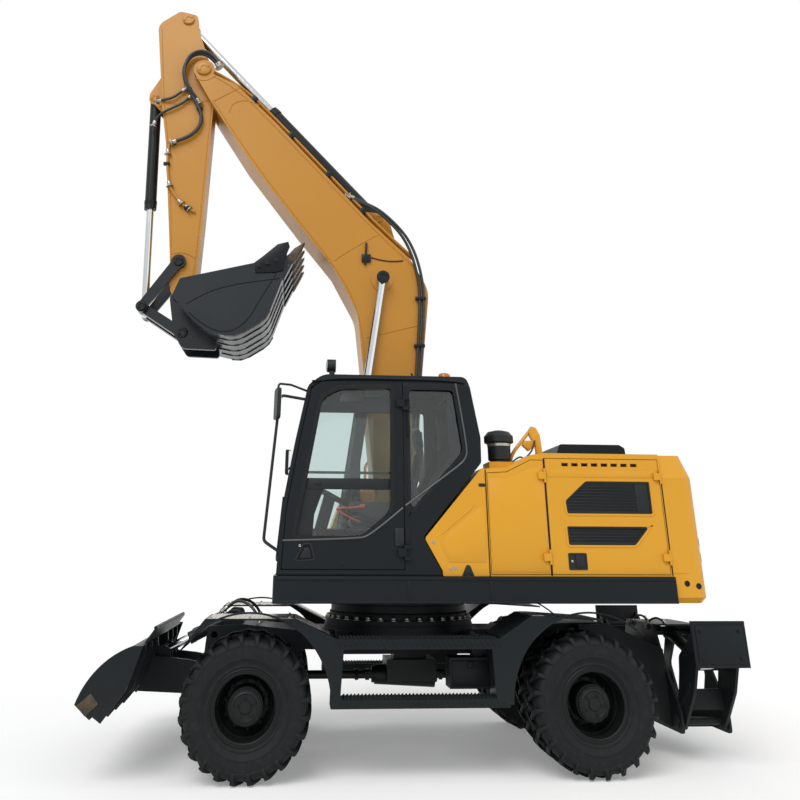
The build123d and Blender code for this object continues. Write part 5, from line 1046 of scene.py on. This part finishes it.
# Road film dulls a mirror in soft blots.
blots = add_node(tree, "ShaderNodeTexNoise", {"Scale": 9.0, "Detail": 3.0}, {"Vector": place})
dull = add_node(tree, "ShaderNodeMapRange", {1: 0.4, 2: 0.8, 3: 0.02, 4: 0.12}, {0: blots.outputs[0]})
set_up(mirror_shader, {"Base Color": linear("#E6EAEC"), "Metallic": 1.0}, {"Roughness": dull.outputs[0]})
mirrors = []
for place, direction, wide, tall in [((1.1848, 1.250, 2.870), (-1, -0.2, 0), 0.148, 0.248),
                                     ((1.0998, -1.225, 2.620), (-1, 0.2, 0), 0.158, 0.258)]:
    pane = plate("pane", four(-wide / 2, -tall / 2, wide / 2, tall / 2), -0.001, 0.003, across="Z",
                 edge=0.001, corner=0.03)
    pane.data.transform(stand(place, direction))
    mirrors.append(pane)
fit(joined("mirror_glasses", mirrors), silvered, "upper")

lens = turned("work_lamp_lens", [(0, 0.760), (0.054, 0.760), (0.054, 0.766), (0.030, 0.773), (0, 0.775)],
              (0, 0.970, 3.280), "X", 32)
fit(lens, glassy("clear_polycarbonate_lens", "#F2F4F4", 0.6), "upper")
dome = turned("beacon_dome", [(0.0555, 3.196), (0.060, 3.198), (0.060, 3.270), (0.052, 3.292), (0.030, 3.302),
                              (0, 3.305), (0, 3.2905), (0.0552, 3.2905)], (-0.410, 0.640, 0), "Z", 40)
fit(dome, glassy("amber_acrylic_dome", "#E98A10", 0.35), "upper")
mast = pipe("aerial_and_lamp_stem", [(-0.10, 0.62, 3.165), (-0.12, 0.62, 3.25), (-0.08, 0.62, 3.30)], 0.009)
fit(mast, moulded_black, "upper")


# ---------------------------------------------------------------- seat and controls
# A suspension seat: foam cushions in woven cloth with sewn channels and piping, on a rubber bellows
# over its springs. Two levers stand on the arm consoles, and a red bar locks the hydraulics.
SEAT_X = 0.270
SEAT_Y = 0.7425

seat_cloth, tree, cloth, place = fresh_material("woven_polyester_seat_cloth")
# Threads 1 mm apart, drawn 5 mm apart so that the weave shows.
threads = [add_node(tree, "ShaderNodeTexWave", {"Scale": 31.0, "bands_direction": way},
                    {"Vector": place}).outputs["Fac"] for way in ("Y", "Z")]
weave = add_node(tree, "ShaderNodeMath", {"operation": "MULTIPLY"}, {0: threads[0], 1: threads[1]})
cloth_tone = add_node(tree, "ShaderNodeMix", {"data_type": "RGBA", 6: linear("#23272B"),
                                              7: linear("#3D4348")}, {0: weave.outputs[0]})
cloth_bump = add_node(tree, "ShaderNodeBump", {"Strength": 0.5, "Distance": 0.001},
                      {"Height": weave.outputs[0]})
set_up(cloth, {"Roughness": 0.85, "Sheen Weight": 0.25},
       {"Base Color": cloth_tone.outputs[2], "Normal": cloth_bump.outputs[0]})


def cushion(name, size, crown, channels, move):
    """A crowned foam pad in a sewn cover, made face up round the origin and then moved."""
    bpy.ops.mesh.primitive_cube_add(size=1.0)
    piece = bpy.context.object
    piece.name = name
    bpy.ops.object.mode_set(mode="EDIT")
    bpy.ops.mesh.select_all(action="SELECT")
    bpy.ops.mesh.subdivide(number_cuts=23)
    bpy.ops.object.mode_set(mode="OBJECT")
    for vertex in piece.data.vertices:
        u, v, w = (2 * part for part in vertex.co)
        ease = (1 - u * u) * (1 - v * v)
        # The sides draw in between the corners, and every edge is rolled over.
        wide = size[0] / 2 * u * (1 - 0.16 * w * w - 0.05 * v * v - 0.03 * (1 - v * v))
        long = size[1] / 2 * v * (1 - 0.16 * w * w - 0.05 * u * u - 0.03 * (1 - u * u))
        rise = size[2] / 2 * w * (1 - 0.10 * u * u - 0.10 * v * v)
        if w > 0:
            groove = max([exp(-((u - line) / 0.05) ** 2) for line in channels] or [0.0])
            rise += crown * ease * w - 0.010 * groove * w * (1 - v ** 6)
        vertex.co = (wide, long, rise)
    piece.data.transform(move)
    only(piece)
    smooth = piece.modifiers.new("cover", "SUBSURF")
    smooth.levels = 1
    smooth.render_levels = 1
    bpy.ops.object.modifier_apply(modifier=smooth.name)
    fit(piece, seat_cloth, "upper", 80)
    return piece


def upright(x, z, lean):
    """The move that stands a cushion up to face forwards, leaning back by some degrees."""
    return shift(x, SEAT_Y, z) @ Matrix.Rotation(radians(lean - 90), 4, "Y") @ Matrix.Rotation(pi, 4, "Z")


seat = cushion("seat_cushion", (0.480, 0.470, 0.110), 0.014, (-0.5, 0.0, 0.5), shift(0.300, SEAT_Y, 1.905))
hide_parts("cab_seat")
cushion("seat_back", (0.580, 0.450, 0.090), 0.016, (-0.55, -0.1, 0.35), upright(-0.015, 2.255, 15))
cushion("seat_headrest", (0.190, 0.250, 0.070), 0.010, (), upright(-0.115, 2.635, 12))

FOLD = 0.030  # height of one fold of the bellows
bellows = []
for n in range(9):
    long, wide, foot = 0.165 + 0.012 * (n % 2), 0.135 + 0.012 * (n % 2), 1.535 + FOLD * n
    bellows.append(plate("fold", four(SEAT_X - long, SEAT_Y - wide, SEAT_X + long, SEAT_Y + wide), foot,
                         foot + FOLD, across="Z", edge=0.012, corner=0.03))
fit(joined("seat_bellows", bellows), tyre_rubber, "upper")
shell = [plate("pan", [(0.045, 1.820), (0.530, 1.820), (0.540, 1.850), (0.050, 1.855)],
               SEAT_Y - 0.215, SEAT_Y + 0.215, edge=0.008),
         plate("back_shell", [(0.020, 1.880), (0.052, 1.890), (-0.045, 2.250), (-0.110, 2.520),
                              (-0.136, 2.520), (-0.090, 2.250)], SEAT_Y - 0.190, SEAT_Y + 0.190, edge=0.008)]
for side in (-1, 1):
    shell.append(plate("console", [(0.070, 1.860), (0.070, 2.050), (0.505, 2.068), (0.530, 2.040),
                                   (0.530, 1.990), (0.210, 1.860)],
                       *sorted((SEAT_Y + side * 0.258, SEAT_Y + side * 0.344)), edge=0.014))
    shell.append(bar("bracket", (0.130, 0.330), sorted((SEAT_Y + side * 0.205, SEAT_Y + side * 0.262)),
                     (1.865, 1.925), 0.006))
    shell.append(round_head("grip", [(0, 0), (0.042, 0), (0.040, 0.014), (0.030, 0.020), (0.033, 0.026),
                                     (0.022, 0.034), (0.024, 0.040), (0.010, 0.052), (0.010, 0.080),
                                     (0.017, 0.090), (0.019, 0.130), (0.023, 0.150), (0.022, 0.170),
                                     (0.012, 0.182), (0, 0.184)], 24,
                            stand((0.470, SEAT_Y + side * 0.300, 2.052), (0.12, 0, 1))))
shell.append(bar("monitor", (0.905, 0.925), (0.430, 0.610), (1.960, 2.090), 0.006))
shell.append(pipe("monitor_stem", [(0.955, 0.450, 1.90), (0.945, 0.470, 1.96), (0.920, 0.500, 2.00)], 0.010))
shell.append(bar("sun_blind", (0.400, 0.620), (0.500, 1.020), (3.020, 3.050), 0.008))
for y in (0.640, 0.845):
    shell.append(plate("pedal", [(0.900, 1.560), (0.915, 1.556), (0.975, 1.690), (0.960, 1.694)], y - 0.040,
                       y + 0.040, edge=0.004))
fit(joined("seat_shell_and_controls", shell), moulded_black, "upper")
lock_bar = [pipe("bar", [(0.660, 1.105, 2.000), (0.600, 1.105, 2.014), (0.520, 1.105, 2.010),
                         (0.450, 1.105, 2.022)], 0.008),
            round_head("knob", [(0, 0), (0.016, 0.004), (0.018, 0.03), (0.014, 0.05), (0, 0.054)], 20,
                       stand((0.462, 1.105, 2.020), (-1, 0, 0.1))),
            pipe("lock_stem", [(0.655, 1.105, 2.000), (0.560, 1.100, 1.93), (0.450, 1.060, 1.90)], 0.008)]
red_enamel = painted_steel("red_enamel_on_steel", "#C33A1E", "#A92F17", 0.4)
fit(joined("hydraulic_lock_bar", lock_bar), red_enamel, "upper")


# ---------------------------------------------------------------- boom
# One long box of welded plate in the hood's yellow, painted darker and browner as painted shade. Steel
# pipes and hoses run up its back in clamps, and its pins are held by bolted keeper plates.
BOOM_Y = -0.060
BOOM_HALF = 0.250
BOOM_TIP = (2.275, 6.979)
BOOM_BACK = [(-0.260, 3.401), (-0.352, 4.300), (-0.150, 4.660), (0.292, 5.084), (1.398, 6.297),
             (1.887, 6.789), (2.130, 6.905)]
BOOM_BELLY = [(2.168, 6.548), (1.695, 5.818), (1.087, 5.023), (0.696, 4.542), (0.425, 4.040), (0.355, 3.388),
              (0.210, 1.90)]
BOOM_SIDES = [Matrix.Identity(4), shift(y=2 * BOOM_Y) @ MIRROR_Y]
LIFT_EYE = (0.160, 4.400)  # of the boom's cylinders, x and z
ARM_CYLINDER_PIN = (0.190, 5.190)
BOOM_FOOT = (0.050, 1.800)

# The boom, the arm and their pipes take the hood's yellow made darker and browner: painted shade, as they
# stand less lit than the hood.
shaded_yellow_enamel = painted_steel("yellow_enamel_painted_darker_as_shade", "#C2872A", "#B67C24", 0.38, coat=0.1, peel=0.2,
                             shine=0.35)
dress(shaded_yellow_enamel, "boom", "arm")

chrome, tree, chrome_shader, place = fresh_material("hard_chrome_on_steel")
# Ground and plated rods keep a thin oil film, in streaks along the rod.
oil_place = add_node(tree, "ShaderNodeMapping", {"Scale": (30.0, 30.0, 2.0)}, {"Vector": place})
oil = add_node(tree, "ShaderNodeTexNoise", {"Scale": 1.0, "Detail": 3.0}, {"Vector": oil_place.outputs[0]})
oil_gloss = add_node(tree, "ShaderNodeMapRange", {1: 0.3, 2: 0.7, 3: 0.08, 4: 0.2}, {0: oil.outputs[0]})
set_up(chrome_shader, {"Base Color": linear("#C4C7C9"), "Metallic": 1.0}, {"Roughness": oil_gloss.outputs[0]})
dress(chrome, *[node for node, slot in slot_of.items() if slot == "rod_chrome"])

BOOM_FACE = BOOM_Y + BOOM_HALF
inner_back = [(x + 0.030, z - 0.022) for x, z in BOOM_BACK[2:]]
tip_turns = [radians(degrees) for degrees in range(-150, -20, 30)]


def weld_beads(name, seams, face, radius, sides, material, body):
    """Weld beads along (x, z) seams on a plate's face, and the same on the far side."""
    beads = [pipe("weld", [(x, face + 0.001, z) for x, z in seam], radius, sides=2) for seam in seams]
    fit(repeated(joined("weld", beads), sides, name), material, body)


weld_beads("boom_welds", [
    [(-0.232, 3.42), (-0.322, 4.29), (-0.245, 4.50)] + inner_back,
    [(x - 0.024, z + 0.014) for x, z in BOOM_BELLY],
    [(2.123, 6.550), (1.980, 6.650), (1.838, 6.739)], [(0.683, 4.616), (0.450, 4.790), (0.206, 4.933)],
    [(0.330, 3.760), (0.181, 3.800), (-0.230, 3.908)],
    [(1.936, 6.406), (1.930, 6.480), (1.880, 6.545), (1.740, 6.587), (1.602, 6.519)],
    [(BOOM_TIP[0] + 0.165 * cos(turn), BOOM_TIP[1] + 0.165 * sin(turn)) for turn in tip_turns]],
    BOOM_FACE, 0.005, BOOM_SIDES, shaded_yellow_enamel, "boom")


def pin_caps(name, body, places, middle, material):
    """A bolted keeper disc on both ends of each pin: (x, z, distance out, radius)."""
    caps = []
    for x, z, out, radius in places:
        for side in (-1, 1):
            cap = round_head("cap", [(0, 0), (radius, 0), (radius, 0.010), (radius * 0.88, 0.016),
                                     (radius * 0.45, 0.016), (radius * 0.40, 0.010), (0, 0.010)], 32)
            bolts = repeated(hex_bolt("cap_bolt", 0.020, 0.010),
                             [shift(radius * 0.66 * cos(turn), radius * 0.66 * sin(turn), 0.014)
                              for turn in (0.5, 0.5 + pi)])
            cap = joined("cap", [cap, bolts])
            cap.data.transform(stand((x, middle + side * out, z), (0, side, 0)))
            caps.append(cap)
    return fit(joined(name, caps), material, body)


pin_caps("boom_pin_caps", "boom", [(*BOOM_TIP, 0.2615, 0.085), (*ARM_CYLINDER_PIN, 0.1095, 0.055)], BOOM_Y,
         shaded_yellow_enamel)
rod_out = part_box("boom_rods")[1].y - BOOM_Y
pin_caps("boom_cylinder_eye_caps", "boom", [(*LIFT_EYE, rod_out, 0.070)], BOOM_Y, black_enamel)
ear_out = BOOM_HALF + 0.046
pin_caps("boom_foot_caps", "upper", [(*BOOM_FOOT, ear_out, 0.080)], BOOM_Y, charcoal_enamel)

# Two pairs of pipes run up the back, one pair on each side of its middle.
PAIR_Y = 0.120
raised_back = grown(BOOM_BACK + BOOM_BELLY, 0.050)[2:7]
pair = [pipe("line", [(x, PAIR_Y + half, z) for x, z in raised_back[:1] + raised_back], 0.015)
        for half in (-0.025, 0.025)]
fit(repeated(joined("line", pair), BOOM_SIDES, "boom_pipes"), shaded_yellow_enamel, "boom")
clamp = bar("clamp", (-0.035, 0.035), (PAIR_Y - 0.062, PAIR_Y + 0.062), (0.0, 0.072), 0.006)
clamp_moves = [face @ shift(x, 0, z) @ Matrix.Rotation(-radians(tilt), 4, "Y") for face in BOOM_SIDES
               for x, z, tilt in [(1.690, 6.590, 45), (1.240, 6.124, 47.6), (0.800, 5.641, 47.6),
                                  (0.400, 5.203, 47.6)]]
fit(repeated(clamp, clamp_moves, "boom_pipe_clamps"), black_enamel, "boom")

side_y = BOOM_FACE + 0.026
for name, slide in [("knee_hose_outer", 0.0), ("knee_hose_inner", 0.044)]:
    hose_run(name, "boom", [(x + slide, y, z) for x, y, z in [
        (0.530, 0.140, 5.420), (0.347, 0.150, 5.330), (0.170, 0.170, 5.240), (-0.070, 0.195, 4.990),
        (-0.178, side_y, 4.790), (-0.250, side_y, 4.570), (-0.296, side_y, 4.280), (-0.276, side_y, 3.860),
        (-0.240, side_y, 3.463), (-0.190, side_y, 2.750)]], 0.016)
straps = [bar("strap", (x, x + 0.115), (BOOM_FACE - 0.001, BOOM_FACE + 0.050), (z, z + 0.035), 0.006)
          for x, z in [(-0.314, 4.18), (-0.290, 3.66), (-0.250, 3.10)]]
fit(joined("knee_hose_straps", straps), black_enamel, "boom")
valve = [pipe("lever", [(0.334, BOOM_FACE + 0.020, 4.822), (0.338, BOOM_FACE + 0.035, 4.70),
                        (0.347, BOOM_FACE + 0.020, 4.568)], 0.012),
         pipe("grease_line", [(0.277, BOOM_FACE + 0.006, 4.659), (0.094, BOOM_FACE + 0.006, 4.600),
                              (-0.075, BOOM_FACE + 0.006, 4.635)], 0.006),
         bar("valve_block", (0.285, 0.385), (BOOM_FACE - 0.001, BOOM_FACE + 0.030), (4.600, 4.690), 0.006)]
fit(joined("boom_safety_valve", valve), black_enamel, "boom")


def bending_hose(name, points, radius):
    """A hose that leaves one body and bends across the joint to the next."""
    piece = pipe(name, points, radius)
    only(piece)
    bpy.ops.object.shade_smooth_by_angle(angle=radians(40))
    piece.data.materials.append(hose_rubber)
    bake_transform(piece)


# Four hoses rise from the deck behind the boom's foot and bend as the boom lifts.
FOOT_HOSE = [(-0.47, 1.47), (-0.48, 1.66), (-0.44, 1.93), (-0.33, 2.20), (-0.245, 2.46), (-0.235, 2.80)]
for number, y in enumerate((-0.26, -0.14, -0.01, 0.11), 1):
    bending_hose(f"boom_foot_hose_{number}", [(x, y, z) for x, z in FOOT_HOSE], 0.020)
    ferrule("upper", (-0.47, y, 1.470), (-0.47, y, 1.60), 0.020)


def gland(name, barrel, base, eye, inset, radius):
    """The gland ring at a barrel's mouth, which lies short of its box's far corner by an inset."""
    low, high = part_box(barrel)
    base = Vector(base)
    way = (Vector(eye) - base).normalized()
    far_end = max((Vector((x, z)) - base).dot(way) for x in (low.x, high.x) for z in (low.z, high.z))
    mouth = base + way * (far_end - inset)
    ring = round_head(name, [(radius * 0.62, -0.05), (radius * 1.10, -0.05), (radius * 1.10, 0.0),
                             (radius * 0.98, 0.012), (radius * 0.80, 0.016), (radius * 0.62, 0.016)], 32,
                      stand((mouth.x, BOOM_Y, mouth.y), (way.x, 0, way.y)))
    fit(ring, black_enamel, barrel)


BUCKET_CYLINDER_PIN = (2.843, 6.644)
LINKAGE_PIN = (2.706, 4.056)
ARM_TOP_PIN = (2.530, 7.730)
gland("arm_cylinder_gland", "arm_barrel", ARM_CYLINDER_PIN, ARM_TOP_PIN, 0.12, 0.078)
gland("bucket_cylinder_gland", "bucket_barrel", BUCKET_CYLINDER_PIN, LINKAGE_PIN, 0.06, 0.064)


# ---------------------------------------------------------------- arm, its hoses and linkage
# A tapered box of welded plate between the boom's cheeks. Two long loops of hose jump from the
# boom's pipes to the arm, and steel pipe carries the oil on down its face.
ARM_Y = BOOM_Y
ARM_FACE = ARM_Y + 0.160

weld_beads("arm_welds", [
    [(2.152, 6.86), (2.168, 6.48), (2.180, 5.113), (2.196, 4.46), (2.222, 4.23)],
    [(2.440, 4.30), (2.450, 4.68), (2.619, 6.03), (2.708, 6.49), (2.767, 6.95), (2.840, 7.58)],
    [(2.205, 4.62), (2.330, 4.72), (2.450, 4.66)], [(2.18, 6.62), (2.42, 6.50), (2.70, 6.55)]],
    ARM_FACE, 0.0045, BOOM_SIDES, shaded_yellow_enamel, "arm")
pin_caps("arm_pin_caps", "arm", [(*ARM_TOP_PIN, 0.1715, 0.070), (*BUCKET_CYLINDER_PIN, 0.0955, 0.052)], ARM_Y,
         shaded_yellow_enamel)
pin_caps("linkage_pin_caps", "rocker", [(*LINKAGE_PIN, 0.2115, 0.052)], ARM_Y, black_enamel)
pin_caps("rocker_pin_caps", "arm", [(2.366, 4.568, 0.2055, 0.055)], ARM_Y, black_enamel)
pin_caps("bucket_pin_caps", "bucket", [(2.325, 4.165, 0.2055, 0.062), (2.256, 3.777, 0.2055, 0.056)], ARM_Y,
         black_enamel)

loop_hoses = [("arm_hose_outer", 0.022, [(2.100, 0.168, 7.020), (2.170, 0.164, 7.126), (2.300, 0.156, 7.225),
                                         (2.455, 0.146, 7.190), (2.530, 0.146, 7.000), (2.480, 0.146, 6.770),
                                         (2.330, 0.146, 6.540), (2.250, 0.144, 6.350), (2.285, 0.144, 6.190),
                                         (2.420, 0.144, 6.060), (2.585, 0.140, 6.002)]),
              ("arm_hose_inner", 0.018, [(2.080, 0.195, 7.020), (2.153, 0.200, 7.144), (2.290, 0.200, 7.240),
                                         (2.440, 0.200, 7.190), (2.505, 0.200, 7.030), (2.500, 0.200, 6.860),
                                         (2.417, 0.190, 6.690), (2.330, 0.150, 6.590),
                                         (2.300, 0.128, 6.540)])]
for name, radius, points in loop_hoses:
    bending_hose(name, points, radius)
    ferrule("boom", points[0], points[1], radius)
    ferrule("arm", points[-1], points[-2], radius)
hose_run("bucket_cylinder_hose_upper", "arm", [(2.470, 0.128, 6.735), (2.520, 0.140, 6.690),
                                               (2.605, 0.142, 6.600), (2.730, 0.130, 6.565),
                                               (2.800, 0.090, 6.570)], 0.016)
hose_run("bucket_cylinder_hose_lower", "arm", [(2.400, 0.125, 6.66), (2.460, 0.135, 6.560),
                                               (2.590, 0.140, 6.470), (2.720, 0.130, 6.400),
                                               (2.790, 0.095, 6.330), (2.815, 0.080, 6.24)], 0.016)
arm_pipe = pipe("arm_pipe", [(2.600, 0.120, 5.990), (2.612, 0.122, 5.850), (2.585, 0.122, 5.620),
                             (2.545, 0.122, 5.440), (2.420, 0.122, 5.275), (2.310, 0.122, 5.195),
                             (2.240, 0.122, 5.160)], 0.014)
fit(arm_pipe, shaded_yellow_enamel, "arm")
for place, before in [((2.605, 0.121, 5.86), (2.611, 0.121, 5.95)),
                      ((2.545, 0.122, 5.46), (2.575, 0.122, 5.56)),
                      ((2.390, 0.122, 5.250), (2.470, 0.122, 5.33)),
                      ((2.300, 0.122, 5.185), (2.380, 0.122, 5.25))]:
    ferrule("arm", place, before, 0.017)
brackets = [bar("bracket", (x - 0.035, x + 0.035), (ARM_FACE - 0.001, ARM_FACE + 0.045),
                (z - 0.018, z + 0.018), 0.005) for x, z in [(2.606, 5.740), (2.330, 5.205), (2.295, 6.480),
                                                            (2.440, 6.730), (2.560, 6.010)]]
fit(joined("arm_pipe_brackets", brackets), black_enamel, "arm")


# ---------------------------------------------------------------- bucket
# Welded from wear-resistant plate: a rolled shell, side plates with bolted cutters, and cast teeth on
# their adapters. Digging has polished the lip and rubbed the paint off the shell's back.
BUCKET_HALF = 0.550
BUCKET_FACE = BOOM_Y + BUCKET_HALF

glossy_black = painted_steel("glossy_black_enamel_on_steel", "#182024", "#10161A", 0.24, shine=0.4)
dress(glossy_black, "bucket", "rocker", "bucket_link")

cutter = plate("cutter", [(1.520, 4.452), (1.295, 4.664), (1.184, 4.697), (1.168, 4.640), (1.200, 4.545),
                          (1.224, 4.378), (1.300, 4.352), (1.514, 4.341)], BUCKET_FACE - 0.001,
               BUCKET_FACE + 0.018, edge=0.004)
fit(repeated(cutter, BOOM_SIDES, "bucket_side_cutters"), charcoal_enamel, "bucket")
bolt_moves = [face @ stand((x, BUCKET_FACE + 0.017, z), OUTWARDS)
              for x, z in [(1.478, 4.412), (1.390, 4.445), (1.300, 4.480)] for face in BOOM_SIDES]
fit(repeated(hex_bolt("cutter_bolt", 0.036, 0.018), bolt_moves, "bucket_cutter_bolts"), black_enamel,
    "bucket")
weld_beads("bucket_welds", [
    [(2.190, 3.991), (2.020, 4.105), (1.844, 4.178), (1.587, 4.241), (1.260, 4.290)],
    [(2.157, 3.898), (1.991, 3.755), (1.758, 3.690), (1.562, 3.821), (1.435, 4.094), (1.300, 4.330)]],
    BUCKET_FACE, 0.006, BOOM_SIDES, charcoal_enamel, "bucket")
# Wear bars are welded round the shell's back, and the lowest have lost their paint.
shell_curve = [(1.238, 4.258), (1.3425, 3.939), (1.3835, 3.8616), (1.448, 3.802), (1.591, 3.709),
               (1.686, 3.671), (1.788, 3.673), (1.880, 3.693)]
proud = grown(shell_curve + [(1.750, 4.050)], 0.009)[:len(shell_curve)]
wear_bar = plate("wear_bar", shell_curve + proud[::-1], BOOM_Y - 0.030, BOOM_Y + 0.030, edge=0.003)
wear_moves = [shift(y=y) for y in (-0.350, -0.125, 0.125, 0.350)]
fit(repeated(wear_bar, wear_moves, "bucket_wear_bars"), glossy_black, "bucket")
edge_band = plate("edge_band", shell_curve[1:7] + proud[6:0:-1], BUCKET_FACE - 0.012, BUCKET_FACE + 0.002,
                  edge=0.002)
fit(repeated(edge_band, BOOM_SIDES, "bucket_edge_bands"), scoured, "bucket")
TOOTH_STEP = 0.240  # from one tooth of the lip to the next
tooth_point = [plate("point", [(1.214, 4.520), (1.118, 4.480), (1.040, 4.640), (1.010, 4.714),
                               (1.120, 4.640)], BOOM_Y - 0.049, BOOM_Y + 0.049, edge=0.006),
               turned("pin", [(0, -0.052), (0.013, -0.052), (0.013, 0.052), (0, 0.052)],
                      (1.175, BOOM_Y, 4.440), "Y", 12)]
point_moves = [shift(y=(n - 2) * TOOTH_STEP) for n in range(5)]
fit(repeated(joined("point", tooth_point), point_moves, "bucket_tooth_points"), scoured, "bucket")
shroud = plate("lip_strip", [(1.205, 4.515), (1.187, 4.505), (1.196, 4.440), (1.214, 4.330), (1.232, 4.336)],
               BOOM_Y - 0.068, BOOM_Y + 0.068, edge=0.004)
shroud_moves = [shift(y=(n - 1.5) * TOOTH_STEP) for n in range(4)]
fit(repeated(shroud, shroud_moves, "bucket_lip_shrouds"), scoured, "bucket")


# ---------------------------------------------------------------- hose fittings
# The crimped steel ends of every fitted hose, zinc plated, joined for each body that carries them.
for body, sockets in ferrules.items():
    fit(joined(f"{body}_hose_ferrules", sockets), zinc, body)
